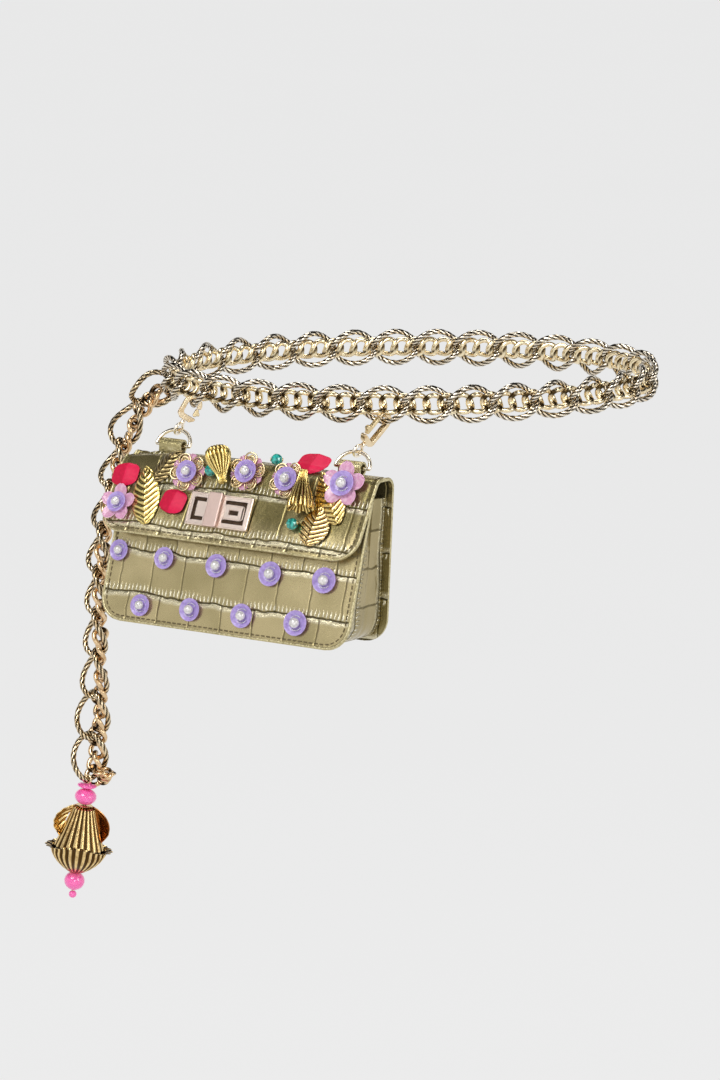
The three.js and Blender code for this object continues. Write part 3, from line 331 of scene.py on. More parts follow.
# %% Plated metal
def plated(name, plate, stain, rough, stain_share=0.45, groove_shade=0.06, grain=0.00006):
    f = Finish(name)
    here = f.place()
    cloud = f.noise(here, 0.35, 3.0)
    speck = f.noise(here, 3.2, 2.0)
    share = (cloud.step(0.42, 0.75) * stain_share + speck.step(0.55, 0.8) * 0.12).least(1.0)
    colour = f.mix(share, plate, stain)
    # in the grooves the metal is painted darker: painted shade, with some old polish held there
    shade = tuple(groove_shade * part for part in stain)
    colour = f.mix(f.groove().step(0.14, 0.5), colour, shade)
    return f.surface(
        Base_Color=colour, Metallic=1.0, Roughness=rough + cloud * 0.08 + speck * 0.04,
        Normal=f.bump(speck, grain, 0.6),
    )


pale_plate = plated("pale_gold_plate", (0.98, 0.9, 0.75), (0.66, 0.43, 0.19), 0.08, 0.6)
inner_plate = plated("inner_gold_plate", (0.95, 0.82, 0.56), (0.66, 0.42, 0.16), 0.08, 0.6, 0.1)
deep_gold = plated("deep_gold", (0.92, 0.71, 0.28), (0.46, 0.25, 0.05), 0.15, 0.5, 0.35)
warm_plate = plated("warm_gold_plate", (0.9, 0.74, 0.5), (0.6, 0.36, 0.12), 0.12, 0.7)
copper_plate = plated("copper_plate", (0.82, 0.6, 0.36), (0.5, 0.27, 0.1), 0.13, 0.7)
bright_gold = plated("bright_gold", (0.93, 0.76, 0.3), (0.55, 0.34, 0.07), 0.16, 0.5, 0.5)
soft_gold = plated("soft_gold", (0.86, 0.7, 0.42), (0.4, 0.26, 0.1), 0.18, 0.6, 0.4)
antique_gold = plated("antique_gold", (0.9, 0.66, 0.3), (0.3, 0.15, 0.04), 0.15, 0.6, 0.28)
dark_bronze = plated("dark_bronze", (0.42, 0.32, 0.15), (0.1, 0.06, 0.015), 0.22, 0.8, 0.3)
copper = plated("copper", (0.55, 0.25, 0.08), (0.16, 0.05, 0.01), 0.15, 0.7)
rose_plate = plated("rose_plate", (0.93, 0.78, 0.69), (0.84, 0.67, 0.58), 0.25, 0.4, 0.06, 0.00001)
rose_slab = plated("rose_slab", (0.7, 0.53, 0.47), (0.62, 0.46, 0.4), 0.3, 0.4, 0.06, 0.00001)
# painted shade for the deep slots and window of the lock
slot_shade = plated("slot_shade", (0.07, 0.045, 0.03), (0.02, 0.012, 0.01), 0.3, 0.6)

# %% [markdown]
# The sewn pieces are plastic and glass. A sequin is pressed from milky film, so it glows a little at its rim.
# A petal is thinner and clearer. Beads are cast and polished, and a pearl has a faint sheen of its own.

# %% Plastics, glass and pearl
def film(name, body, light, rough, clear, gloss=0.25):
    f = Finish(name)
    here = f.place()
    cloud = f.noise(here, 0.5, 2.0)
    speck = f.noise(here, 4.0, 2.0)
    colour = f.mix(cloud.step(0.35, 0.7), body, light)
    return f.surface(
        Base_Color=colour, Roughness=rough + speck * 0.1, Normal=f.bump(speck, 0.00005, 0.4),
        Subsurface_Weight=clear, Subsurface_Radius=(0.003, 0.0016, 0.003), Subsurface_Scale=1.0,
        Coat_Weight=gloss, Coat_Roughness=0.12, Specular_IOR_Level=0.2 + gloss,
    )


def polished(name, body, light, coat):
    f = Finish(name)
    cloud = f.noise(f.place(), 0.6, 2.0)
    colour = f.mix(cloud.step(0.4, 0.7), body, light)
    return f.surface(
        Base_Color=colour, Roughness=0.12 + cloud * 0.06, Normal=f.bump(cloud, 0.00008, 0.3),
        Coat_Weight=coat, Coat_Roughness=0.04,
        Subsurface_Weight=0.15, Subsurface_Radius=(0.004, 0.001, 0.002), Subsurface_Scale=1.0,
    )


def pearl_skin():
    f = Finish("pearl")
    cloud = f.noise(f.place(), 0.9, 3.0)
    colour = f.ramp(cloud, (0.3, (0.5, 0.48, 0.47)), (0.55, (0.75, 0.73, 0.71)), (0.75, (0.85, 0.8, 0.84)))
    return f.surface(
        Base_Color=colour, Roughness=0.16 + cloud * 0.1, Metallic=0.25, Coat_Weight=0.6, Coat_Roughness=0.05
    )


def teal_glass():
    f = Finish("teal_glass")
    cloud = f.noise(f.place(), 0.7, 2.0)
    colour = f.mix(cloud.step(0.35, 0.7), (0.0, 0.14, 0.12), (0.03, 0.5, 0.42))
    return f.surface(
        Base_Color=colour, Roughness=0.05 + cloud * 0.05, Coat_Weight=0.8, Coat_Roughness=0.03, IOR=1.6
    )


lilac_film = film("lilac_film", (0.36, 0.26, 0.6), (0.47, 0.37, 0.74), 0.28, 0.15)
pink_film = film("pink_film", (0.7, 0.33, 0.5), (0.82, 0.48, 0.64), 0.2, 0.3)
# the two reds are lit and shaded copies of one red: painted light and shade on the faces of a folded petal
red_shaded_face = film("red_shaded_face", (0.52, 0.004, 0.04), (0.6, 0.006, 0.05), 0.5, 0.05, 0.02)
red_lit_face = film("red_lit_face", (0.66, 0.006, 0.06), (0.72, 0.01, 0.07), 0.45, 0.05, 0.03)
pink_gloss = polished("pink_gloss", (0.92, 0.13, 0.43), (0.95, 0.19, 0.5), 0.8)
seed_thread = polished("seed_thread", (0.62, 0.55, 0.68), (0.8, 0.74, 0.82), 0.2)
pearl = pearl_skin()
teal = teal_glass()


def studio_floor():
    f = Finish("studio_floor")
    cloud = f.noise(f.place(), 0.002, 1.0)
    colour = f.mix(cloud, (0.06, 0.06, 0.06), (0.08, 0.08, 0.08))
    return f.surface(
        Base_Color=colour, Roughness=0.95, Specular_IOR_Level=0.0,
        Emission_Color=(0.8, 0.8, 0.8), Emission_Strength=0.99,
    )


floor.data.materials.append(studio_floor())

# %% [markdown]
# All pieces are modelled in millimetres at the origin, as on a bench. When one is finished it is carried to
# its place: its mesh is scaled to metres and moved there, while the object itself stays at the origin. Places
# are frames: matrices of three axes and a point.

# %% Bench tools
BAG_BODY = "bag_and_belt"
TO_METRES = Matrix.Scale(0.001, 4)
HERE = Matrix.Identity(4)


def turning(degrees, axis):
    return Matrix.Rotation(radians(degrees), 4, axis)


def moving(x, y, z):
    return Matrix.Translation((x, y, z))


def frame_at(place, x_axis, y_axis, z_axis):
    matrix = Matrix((x_axis, y_axis, z_axis)).transposed().to_4x4()
    matrix.translation = place
    return matrix


def lengths_along(points):
    """How far each point lies from the first, measured along the line"""
    lengths = [0.0]
    for p, q in zip(points, points[1:]):
        lengths.append(lengths[-1] + (q - p).length)
    return lengths


def deselect():
    for other in bpy.context.selected_objects:
        other.select_set(False)


def pick(piece):
    deselect()
    piece.select_set(True)
    bpy.context.view_layer.objects.active = piece
    return piece


def apply_modifier(piece, kind, **settings):
    pick(piece)
    modifier = piece.modifiers.new(kind.lower(), kind)
    for key, value in settings.items():
        setattr(modifier, key, value)
    bpy.ops.object.modifier_apply(modifier=modifier.name)
    return piece


def edit(piece, *operations):
    """Runs edit-mode operators with everything in the piece selected"""
    pick(piece)
    bpy.ops.object.mode_set(mode="EDIT")
    bpy.ops.mesh.select_all(action="SELECT")
    for operation, settings in operations:
        getattr(bpy.ops.mesh, operation)(**settings)
    bpy.ops.object.mode_set(mode="OBJECT")
    return piece


def reshape(piece, move):
    for vertex in piece.data.vertices:
        vertex.co = move(vertex.co)
    piece.data.update()
    return piece


def soften(piece, width, segments, degrees):
    """Rounds the edges that are sharper than an angle"""
    limit = {"limit_method": "ANGLE", "angle_limit": radians(degrees)}
    return apply_modifier(piece, "BEVEL", width=width, segments=segments, **limit)


def smooth(piece, degrees):
    pick(piece)
    bpy.ops.object.shade_smooth_by_angle(angle=radians(degrees))
    return piece


def smooth_flat(piece, degrees=40):
    """Rounds the shading of the edges only, so that large flat faces stay flat"""
    return apply_modifier(smooth(piece, degrees), "WEIGHTED_NORMAL", keep_sharp=True)


def copy_to(piece, matrix):
    twin = piece.copy()
    twin.data = piece.data.copy()
    bpy.context.scene.collection.objects.link(twin)
    twin.data.transform(matrix)
    return twin


def join(pieces):
    deselect()
    for piece in pieces:
        piece.select_set(True)
    bpy.context.view_layer.objects.active = pieces[0]
    bpy.ops.object.join()
    return pieces[0]


def repeat(piece, matrices):
    """One object made of copies of a piece, which is then removed"""
    twins = [copy_to(piece, matrix) for matrix in matrices]
    bpy.data.objects.remove(piece)
    return join(twins)


def paint(piece, *materials):
    """Gives the piece its materials, and keeps each face's own number where it has one"""
    numbers = [min(face.material_index, len(materials) - 1) for face in piece.data.polygons]
    piece.data.materials.clear()
    for material in materials:
        piece.data.materials.append(material)
    piece.data.polygons.foreach_set("material_index", numbers)
    return piece


def lifted(piece, x, y, z):
    piece.data.transform(moving(x, y, z))
    return piece


def hand_over(piece, name, matrix, slot, nodes=(), body=BAG_BODY):
    """Carries a finished piece to its place, hangs it on its body and hides the CAD parts that it stands for
    """
    piece.name = piece.data.name = name
    piece.data.transform(TO_METRES @ matrix)
    piece.data.update()
    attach(piece, body)
    if nodes:
        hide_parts(*nodes)
    return piece


# %% [markdown]
# Three starting shapes serve most pieces. A ring is a torus whose wire is led along another line. A sheet is
# a grid whose points are moved onto a surface. A turned piece is an outline spun round an axis.

# %% Ring, sheet and turned piece
INWARD, BOTH_WAYS, OUTWARD = -1.0, 0.0, 1.0  # the side of the surface on which a sheet's wall lies


def mark_grooves(piece, depth):
    """Stores depth(co), 0 to 1, at every point of the mesh"""
    values = [depth(vertex.co) for vertex in piece.data.vertices]
    piece.data.attributes.new(GROOVE, "FLOAT", "POINT").data.foreach_set("value", values)
    return piece


def ring(line, facing, wire, steps, sides, ribs=None, depth=0.0):
    """A closed wire along line(angle); facing(angle) is its plane's normal, ribs(angle, around) 0 to 1"""
    big = 10 * wire
    bpy.ops.mesh.primitive_torus_add(
        major_segments=steps, minor_segments=sides, major_radius=big, minor_radius=wire
    )
    piece = bpy.context.active_object
    frames = {}

    def move(co):
        angle = atan2(co.y, co.x)
        key = round(angle, 4)
        if key not in frames:
            tangent = (line(angle + 0.001) - line(angle - 0.001)).normalized()
            normal = facing(angle)
            normal = (normal - tangent * normal.dot(tangent)).normalized()
            frames[key] = (line(angle), tangent.cross(normal), normal)
        middle, outward, normal = frames[key]
        reach, height = hypot(co.x, co.y) - big, co.z
        share = 1 - depth * (1 - ribs(angle, atan2(height, reach))) if ribs else 1.0
        return middle + outward * (reach * share) + normal * (height * share)

    if ribs:
        mark_grooves(piece, lambda co: 1 - ribs(atan2(co.y, co.x), atan2(co.z, hypot(co.x, co.y) - big)))
    reshape(piece, move)
    edit(piece, ("normals_make_consistent", {"inside": False}))
    return smooth(piece, 60)


def sheet(columns, rows, place, wall, offset=INWARD, uv=None):
    """A wall on place(across, along), which takes -1 to 1 and 0 to 1. Its rim gets the second material."""
    bpy.ops.mesh.primitive_grid_add(x_subdivisions=columns, y_subdivisions=rows, size=2)
    piece = bpy.context.active_object
    grid = [(v.co.x, (v.co.y + 1) / 2) for v in piece.data.vertices]
    if uv:
        layer = piece.data.uv_layers.active
        layer.name = "leather"
        for loop in piece.data.loops:
            layer.data[loop.index].uv = uv(*grid[loop.vertex_index])
    for vertex, (across, along) in zip(piece.data.vertices, grid):
        vertex.co = place(across, along)
    piece.data.update()
    faces = len(piece.data.polygons)
    apply_modifier(piece, "SOLIDIFY", thickness=wall, offset=offset, use_even_offset=False)
    for face in list(piece.data.polygons)[2 * faces :]:
        face.material_index = 1
    return smooth(piece, 50)


def turned(outline, steps):
    """Spins a closed outline of (radius, height) points round Z"""
    bpy.ops.mesh.primitive_circle_add(vertices=len(outline), fill_type="NOTHING")
    piece = bpy.context.active_object
    for vertex, (radius, height) in zip(piece.data.vertices, outline):
        vertex.co = (radius, 0, height)
    spin = {"steps": steps, "angle": 2 * pi, "center": (0, 0, 0), "axis": (0, 0, 1)}
    edit(
        piece,
        ("spin", spin),
        ("select_all", {"action": "SELECT"}),
        ("remove_doubles", {"threshold": 0.001}),
        ("normals_make_consistent", {"inside": False}),
    )
    return smooth(piece, 40)


def plate(outline, depth, round_edge=0.0, segments=2):
    """A flat piece cut to an outline in X and Y, centred on Z = 0"""
    bpy.ops.mesh.primitive_circle_add(vertices=len(outline), fill_type="NGON")
    piece = bpy.context.active_object
    for vertex, (x, y) in zip(piece.data.vertices, outline):
        vertex.co = (x, y, -depth / 2)
    edit(piece, ("extrude_region_move", {"TRANSFORM_OT_translate": {"value": (0, 0, depth)}}))
    edit(piece, ("normals_make_consistent", {"inside": False}))
    if round_edge:
        soften(piece, round_edge, segments, 40)
    return smooth_flat(piece)


def fluted(piece, ridges, depth, start=0.0, narrow=0.7):
    """Presses upright ridges into a turned piece. They are thinner where narrow is more."""

    def reach(co):
        return min(1, max(0, hypot(co.x, co.y) - start) / 2)

    def rib(co):
        return abs(cos(ridges * atan2(co.y, co.x) / 2)) ** narrow

    mark_grooves(piece, lambda co: reach(co) * (1 - rib(co)))

    def move(co):
        share = 1 - depth * reach(co) * (1 - rib(co)) / max(hypot(co.x, co.y), 0.1)
        return Vector((co.x * share, co.y * share, co.z))

    return reshape(piece, move)


def wire(points, thick, closed, sides):
    """A round wire through the points, made from a curve"""
    curve = bpy.data.curves.new("wire", "CURVE")
    curve.dimensions = "3D"
    curve.bevel_depth = thick
    curve.bevel_resolution = sides - 1
    curve.use_fill_caps = True
    line = curve.splines.new("POLY")
    line.points.add(len(points) - 1)
    for point, place in zip(line.points, points):
        point.co = (*place, 1)
    line.use_cyclic_u = closed
    piece = bpy.data.objects.new("wire", curve)
    bpy.context.scene.collection.objects.link(piece)
    pick(piece)
    bpy.ops.object.convert(target="MESH")
    piece = bpy.context.active_object
    edit(piece, ("remove_doubles", {"threshold": 0.0001}), ("normals_make_consistent", {"inside": False}))
    return smooth(piece, 50)


def ball(radius, middle=(0, 0, 0), segments=20, flat=1.0):
    """A bead: a sphere that is pressed a little along Z"""
    bpy.ops.mesh.primitive_uv_sphere_add(segments=segments, ring_count=segments // 2 + 1, radius=radius)
    piece = bpy.context.active_object
    reshape(piece, lambda co: Vector((co.x + middle[0], co.y + middle[1], flat * co.z + middle[2])))
    return smooth(piece, 60)


def arc(radius, start, end, steps, middle=(0.0, 0.0)):
    """Points of an arc in X and Y, from one angle to the other, in degrees"""
    turns = [radians(start + (end - start) * i / steps) for i in range(steps + 1)]
    return [(middle[0] + radius * cos(turn), middle[1] + radius * sin(turn)) for turn in turns]


# %% [markdown]
# The belt is a curb chain of large oval links round a level oval, the waist. Each link is turned a little at
# both ends, so that its neighbours lie flat in it. The places come from the same ellipse as in the CAD model,
# measured off by length, because a step of equal angle would crowd the links at the ends.

# %% The belt's line
WAIST = (137.0, 95.0)
PITCH = 24.5
LINK_HEIGHT = 9.35
LINK_WIRE = 1.45
LINK_TURN = radians(45)
FIRST_HOOK_ANGLE = 206.8
CLOSURE_BEFORE = 2
STEPS = 2000  # short steps in which the oval is measured off


def waist_point(share):
    angle = 2 * pi * share
    return Vector((WAIST[0] * cos(angle), WAIST[1] * sin(angle), 0))


waist_lengths = lengths_along([waist_point(i / STEPS) for i in range(STEPS + 1)])
WAIST_LENGTH = waist_lengths[-1]
LINK_COUNT = round(WAIST_LENGTH / PITCH)
print("waist", round(WAIST_LENGTH), "mm,", LINK_COUNT, "links")


def angle_at(length):
    length %= WAIST_LENGTH
    i = max(1, bisect_left(waist_lengths, length))
    low, high = waist_lengths[i - 1], waist_lengths[i]
    return 2 * pi * (i - 1 + (length - low) / (high - low)) / STEPS


def belt_frame(index):
    """Link number index, which may be a fraction: X along the belt, Y up, Z out from the waist"""
    start = waist_lengths[round(FIRST_HOOK_ANGLE / 360 * STEPS)]
    angle = angle_at(start + WAIST_LENGTH * index / LINK_COUNT)
    along = Vector((-WAIST[0] * sin(angle), WAIST[1] * cos(angle), 0)).normalized()
    up = Vector((0, 0, 1))
    return frame_at((WAIST[0] * cos(angle), WAIST[1] * sin(angle), 0), along, up, along.cross(up))


# %% [markdown]
# The tail leaves the closing link at the left, falls past the bag and carries the pendant. Its line goes
# smoothly through a few measured points, so it is a Catmull-Rom curve like the one in the CAD model.

# %% The tail's line
TAIL_TURNS = (0, 40, 62, 68, 68, 68, 64, 50, 20, 0)  # each link about its own length, in degrees
HALF_FUSED = (PITCH + 2 * LINK_WIRE - 0.6) / 2
TAIL_START = HALF_FUSED - 2 * LINK_WIRE - 0.6
TAIL_STEPS = 1200
closure_foot = belt_frame(-CLOSURE_BEFORE) @ Vector((0, -LINK_HEIGHT, 0))
TAIL_ROUTE = (  # from the closing link's foot
    (0, 0, 0), (-10, -3, 1), (-20.5, -6, -10.5), (-28.5, -11.5, -28.5), (-34.5, -19, -52.5),
    (-40, -26.6, -84.7),
    (-42, -28.6, -115.7), (-43, -28.6, -145.7), (-44, -28.6, -172.7), (-46, -28.6, -198.7),
    (-48.5, -28.6, -226.7), (-51, -28.6, -246.7),
)


def centripetal(points, count):
    """Points of a centripetal Catmull-Rom curve through all the points given"""
    ends = [2 * points[0] - points[1], *points, 2 * points[-1] - points[-2]]
    line = []
    for i in range(count + 1):
        place = i / count * (len(points) - 1)
        span = min(int(place), len(points) - 2)
        t = place - span
        a, b, c, d = ends[span : span + 4]
        before, inside, after = (sqrt((q - p).length) or 1 for p, q in ((a, b), (b, c), (c, d)))
        leave = ((b - a) / before - (c - a) / (before + inside) + (c - b) / inside) * inside
        arrive = ((c - b) / inside - (d - b) / (inside + after) + (d - c) / after) * inside
        cubic = (2 * t**3 - 3 * t**2 + 1) * b + (t**3 - 2 * t**2 + t) * leave
        line.append(cubic + (3 * t**2 - 2 * t**3) * c + (t**3 - t**2) * arrive)
    return line


tail_line = centripetal([closure_foot + Vector(point) for point in TAIL_ROUTE], TAIL_STEPS)
tail_lengths = lengths_along(tail_line)
print("tail line", round(tail_lengths[-1]), "mm")


def tail_frame(index):
    """Link number index: X down the tail, Y to the right, Z to the front"""
    i = min(len(tail_line) - 2, max(1, bisect_left(tail_lengths, TAIL_START + index * PITCH)))
    along = (tail_line[i + 1] - tail_line[i - 1]).normalized()
    front = Vector((0, -1, 0))
    front = (front - along * front.dot(along)).normalized()
    return frame_at(tail_line[i], along, front.cross(along), front)


# %% [markdown]
# Each large link is made of wires twisted into a rope, so diagonal ribs run round it and catch the light.
# The ribs are in the mesh: the wire's radius swells and falls along a spiral. The spiral must meet itself
# where the link closes, so its number of turns is a whole number.

# %% Rope links
ROPE_STRANDS = 4
ROPE_RIBS = 24  # ribs passed on the way round one link
ROPE_WIRE = 1.68
ROPE_GROOVE = 0.34  # how deep the grooves go, as a share of the wire


def link_line(half_length, half_height, turn):
    def line(angle):
        tilt = -turn * cos(angle)
        side = half_height * sin(angle)
        return Vector((half_length * cos(angle), side * cos(tilt), side * sin(tilt)))

    def facing(angle):
        tilt = -turn * cos(angle)
        return Vector((0, -sin(tilt), cos(tilt)))

    return line, facing


def rope_ribs(angle, around):
    return abs(cos((ROPE_STRANDS * around + ROPE_RIBS * angle) / 2)) ** 0.8


def rope_link(half_length):
    line, facing = link_line(half_length, LINK_HEIGHT, LINK_TURN)
    return ring(line, facing, ROPE_WIRE, 132, 16, rope_ribs, ROPE_GROOVE)


HALF_LENGTH = PITCH / 2 + LINK_WIRE
belt_link = rope_link(HALF_LENGTH)
belt_places = [belt_frame(i) for i in range(1 - CLOSURE_BEFORE, LINK_COUNT - CLOSURE_BEFORE)]
tail_places = [tail_frame(i) @ turning(turn, "X") for i, turn in enumerate(TAIL_TURNS)]
tail_links = repeat(paint(copy_to(belt_link, HERE), warm_plate), tail_places)
belt_links = repeat(paint(belt_link, pale_plate), belt_places)
hand_over(belt_links, "belt_links", HERE, "chain", ["belt_chain"])
hand_over(tail_links, "tail_links", HERE, "chain", ["tail_chain"])
closure_link = paint(rope_link(HALF_LENGTH + 0.4), pale_plate)
hand_over(closure_link, "closure_link", belt_frame(-CLOSURE_BEFORE), "chain", ["closure_ring"])

# %% [markdown]
# A finer curb chain is laced through the large one. Three of its links go to each large link: one lies where
# two large links meet, and two fill the hole between. Its wire is plain and round, so it shines brighter
# than the rope. At the end of the tail it gathers in a small bunch.

# %% Fine links
FINE_PER_LINK = 3
FINE_HALF = (5.5, 4.9)
FINE_WIRE = 1.48
fine_line, fine_facing = link_line(*FINE_HALF, radians(42))


def fine_bend_shade(angle, around):
    """Painted shade: the wire is painted darker at its bends, where the links meet, and keeps the plate's tone
    on its long sides
    """
    return abs(sin(angle + 0.35 * sin(around))) ** 0.36


# the fine links carry painted shade at their bends
fine_link = ring(fine_line, fine_facing, FINE_WIRE, 36, 10, fine_bend_shade, 0.06)
fine_turn = moving(0, 0, -0.8) @ turning(-18, "X") @ turning(-30, "Z")
belt_fine_places = []
for i in range(FINE_PER_LINK * (LINK_COUNT - 1) + 1):
    belt_fine_places.append(belt_frame(0.5 - CLOSURE_BEFORE + i / FINE_PER_LINK) @ fine_turn)


def tail_turn(place):
    """The turn of the big links, blended along the tail"""
    place = min(max(place, 0), len(TAIL_TURNS) - 1.001)
    first = int(place)
    return TAIL_TURNS[first] + (TAIL_TURNS[first + 1] - TAIL_TURNS[first]) * (place - first)


tail_fine_places = []
for i in range(FINE_PER_LINK * (len(TAIL_TURNS) - 1) + 3):
    place = -0.2 + i / FINE_PER_LINK
    aside = moving(0, 3.4 + 0.5 * sin(2.4 * i), -1.2)
    roll = turning(tail_turn(place), "X")
    tip = turning(40 + 25 * sin(2.1 * i), "X")
    tail_fine_places.append(tail_frame(place) @ roll @ aside @ tip)
for turn, x, y in ((70, 8.6, 7.0), (140, 10.0, 9.6), (25, 11.4, 8.2), (100, 9.4, 11.0)):
    bunch = moving(x, y, 0.6) @ turning(turn, "Z") @ Matrix.Scale(0.72, 4)
    tail_fine_places.append(tail_frame(len(TAIL_TURNS) - 1) @ bunch @ turning(turn + 20, "X"))
tail_fine = repeat(paint(copy_to(fine_link, HERE), copper_plate), tail_fine_places)
belt_fine = repeat(paint(fine_link, inner_plate), belt_fine_places)
hand_over(belt_fine, "belt_fine_links", HERE, "chain", ["inner_chain"])
hand_over(tail_fine, "tail_fine_links", HERE, "chain", ["inner_chain"])
print("fine links", len(belt_fine_places), "and", len(tail_fine_places))

# %% [markdown]
# The bag's leather follows a side profile: up the back, round the top, and down the flap. A point of it is
# named by how far across it lies and how far along the profile. The same numbers shaped the CAD solid.

# %% The bag's surfaces
BAG_WIDTH, FRONT_WIDTH, BAG_HEIGHT = 164.0, 160.0, 93.0
DEPTH_TOP, DEPTH_BOTTOM = 16.8, 43.0
BACK_FOLD, FRONT_FOLD, FOLD_FORWARD = 7.0, 6.0, 3.8
CORNER = 14.0
FLAP_DROP, FLAP_STAND, FLAP_SHIFT = 44.0, 6.0, -4.0
FRONT_TOP, FRONT_BOW = 12.0, 3.0
WALL = 1.8
GAP = 0.3
ROUND_STEPS = 32
SLOPE = atan((DEPTH_BOTTOM - DEPTH_TOP) / BAG_HEIGHT)
FLAP_FORMS = [  # across, along, reach across, reach along, rise, all as shares
    (-1.0, 0.66, 0.3, 0.07, -0.045),
    (-0.45, 0.7, 0.3, 0.07, 0.012),
    (0.9, 0.93, 0.25, 0.12, -0.02),
    (-0.75, 0.95, 0.3, 0.12, 0.012),
]
bag_place = moving(-79.7, -85, -33.3)
for degrees, axis in ((-29.5, "Z"), (-3.7, "X"), (0.8, "Y")):
    bag_place = bag_place @ turning(degrees, axis)


def front_face(z):
    return -DEPTH_TOP + z * tan(SLOPE)


flap_end = Vector((front_face(-FLAP_DROP) - (FLAP_STAND + WALL + GAP) / cos(SLOPE), -FLAP_DROP))
fold_middle = Vector((FRONT_FOLD - DEPTH_TOP - FOLD_FORWARD, -FRONT_FOLD))
way = flap_end - fold_middle
fold_end = atan2(way.y, way.x) % (2 * pi) - acos(FRONT_FOLD / way.length)
profile = [Vector((0, -BAG_HEIGHT)), Vector((0, -BACK_FOLD))]
for middle, radius, start, end in (
    (Vector((-BACK_FOLD, -BACK_FOLD)), BACK_FOLD, 0, pi / 2),
    (fold_middle, FRONT_FOLD, pi / 2, fold_end),
):
    for i in range(ROUND_STEPS + 1):
        angle = start + (end - start) * i / ROUND_STEPS
        profile.append(middle + radius * Vector((cos(angle), sin(angle))))
flap_straight = (flap_end - profile[-1]).length
profile.append(flap_end)
profile_lengths = lengths_along(profile)
PROFILE_LENGTH = profile_lengths[-1]
print("profile", round(PROFILE_LENGTH, 1), "mm, flap", round(flap_straight, 1), "mm")


def profile_point(length):
    length = min(max(length, 0), PROFILE_LENGTH)
    i = max(1, bisect_left(profile_lengths, length))
    span = profile_lengths[i] - profile_lengths[i - 1]
    share = (length - profile_lengths[i - 1]) / span if span else 0
    return profile[i - 1].lerp(profile[i], share)


def flap_point(u, s, lift=0.0):
    """u across, s along the profile from the back's foot, lift out from the outer face"""
    point = profile_point(s)
    reach = 0.4
    before, after = profile_point(s - reach), profile_point(s + reach)
    tangent = (after - before).normalized()
    down = min(max((s - PROFILE_LENGTH + flap_straight) / flap_straight, 0), 1)
    rise = lift
    for across, along, across_reach, along_reach, height in FLAP_FORMS:
        a = (u / (BAG_WIDTH / 2) - across) / across_reach
        b = (s / PROFILE_LENGTH - along) / along_reach
        rise += BAG_HEIGHT * height * exp(-a * a - b * b)
    return Vector((u + FLAP_SHIFT * down, point.x + tangent.y * rise, point.y - tangent.x * rise))


FRONT_LENGTH = (BAG_HEIGHT - FRONT_TOP) / cos(SLOPE)


def front_point(u, e, lift=0.0):
    """u across, e up from the front's lower edge"""
    rise = lift + FRONT_BOW * cos(pi * u / FRONT_WIDTH) * sin(pi * e / FRONT_LENGTH)
    y = -DEPTH_BOTTOM + e * sin(SLOPE) - rise * cos(SLOPE)
    return Vector((u, y, -BAG_HEIGHT + e * cos(SLOPE) - rise * sin(SLOPE)))


def rounded_half(half, from_end):
    inside = max(0.0, CORNER - from_end)
    return half - CORNER + sqrt(max(0.0, CORNER * CORNER - inside * inside))


# %% [markdown]
# The leather stands a little proud of its stitching, and the top sags between the rings. Small soft dents
# like these keep a bag from looking stamped, so each sheet gets a few long, low waves on top of its form.

# %% Leather sheets
SAG_AT, SAG_REACH = (-72, 0.615), (22, 9)  # across, and along the profile (its middle as a share of it)
FOLD_HEIGHT = 0.75
EDGE_FADE = 12.0  # within this distance of an edge the waves fade
STITCH_IN = 3.0  # how far the seam lies from the edge
QUILT_DEPTH, QUILT_WIDTH = 0.3, 0.9


def soft_wave(u, s):
    return 0.35 * sin(u / 19 + 0.7) * sin(s / 13) + 0.18 * sin(u / 7.3 + s / 9.1)


def top_wrinkles(u, s):
    """Slanting folds in the left end of the top, where the leather sags"""
    across, along = (u - SAG_AT[0]) / SAG_REACH[0], (s - SAG_AT[1] * PROFILE_LENGTH) / SAG_REACH[1]
    return FOLD_HEIGHT * exp(-(across**2) - along**2) * sin((u + 1.2 * s) / 2.3)


def quilt(distance):
    """The dent of the stitching line, a little in from the edge"""
    return -QUILT_DEPTH * exp(-(((distance - STITCH_IN) / QUILT_WIDTH) ** 2))


def wave_lift(u, s, edge):
    """The soft waves, which fade towards the edge"""
    return 0.6 * soft_wave(u, s) * min(1, max(0, edge) / EDGE_FADE)


def eased(along, length):
    """Rows lie closer together at both ends, where the corners are round"""
    return length * (along - 0.08 * sin(2 * pi * along))


def flap_spot(across, along):
    s = eased(along, PROFILE_LENGTH)
    return -across * rounded_half(BAG_WIDTH / 2, min(s, PROFILE_LENGTH - s)), s


def flap_edge(u, s):
    """How far a point of the flap lies from the nearest edge"""
    half = rounded_half(BAG_WIDTH / 2, min(s, PROFILE_LENGTH - s))
    return min(half - abs(u), PROFILE_LENGTH - s, s)


def flap_place(across, along):
    u, s = flap_spot(across, along)
    edge = flap_edge(u, s)
    return flap_point(u, s, wave_lift(u, s, edge) + top_wrinkles(u, s) + quilt(edge))


def flap_uv(across, along):
    u, s = flap_spot(across, along)
    return (u / UV_UNIT, (PROFILE_LENGTH - s) / UV_UNIT)


def front_spot(across, along):
    e = eased(along, FRONT_LENGTH)
    return across * rounded_half(FRONT_WIDTH / 2, e), e


def front_place(across, along):
    u, e = front_spot(across, along)
    edge = min(rounded_half(FRONT_WIDTH / 2, e) - abs(u), e)
    return front_point(u, e, wave_lift(u, e, edge) + quilt(edge))


def front_uv(across, along):
    u, e = front_spot(across, along)
    return (u / UV_UNIT, (e + 3) / UV_UNIT)


# the flap carries a painted dark reflection on its upper part
flap_leather = pressed_leather("flap_leather", 14.8, 1.0, (18.0, 36.0))
front_leather = pressed_leather("front_leather", 0.8)
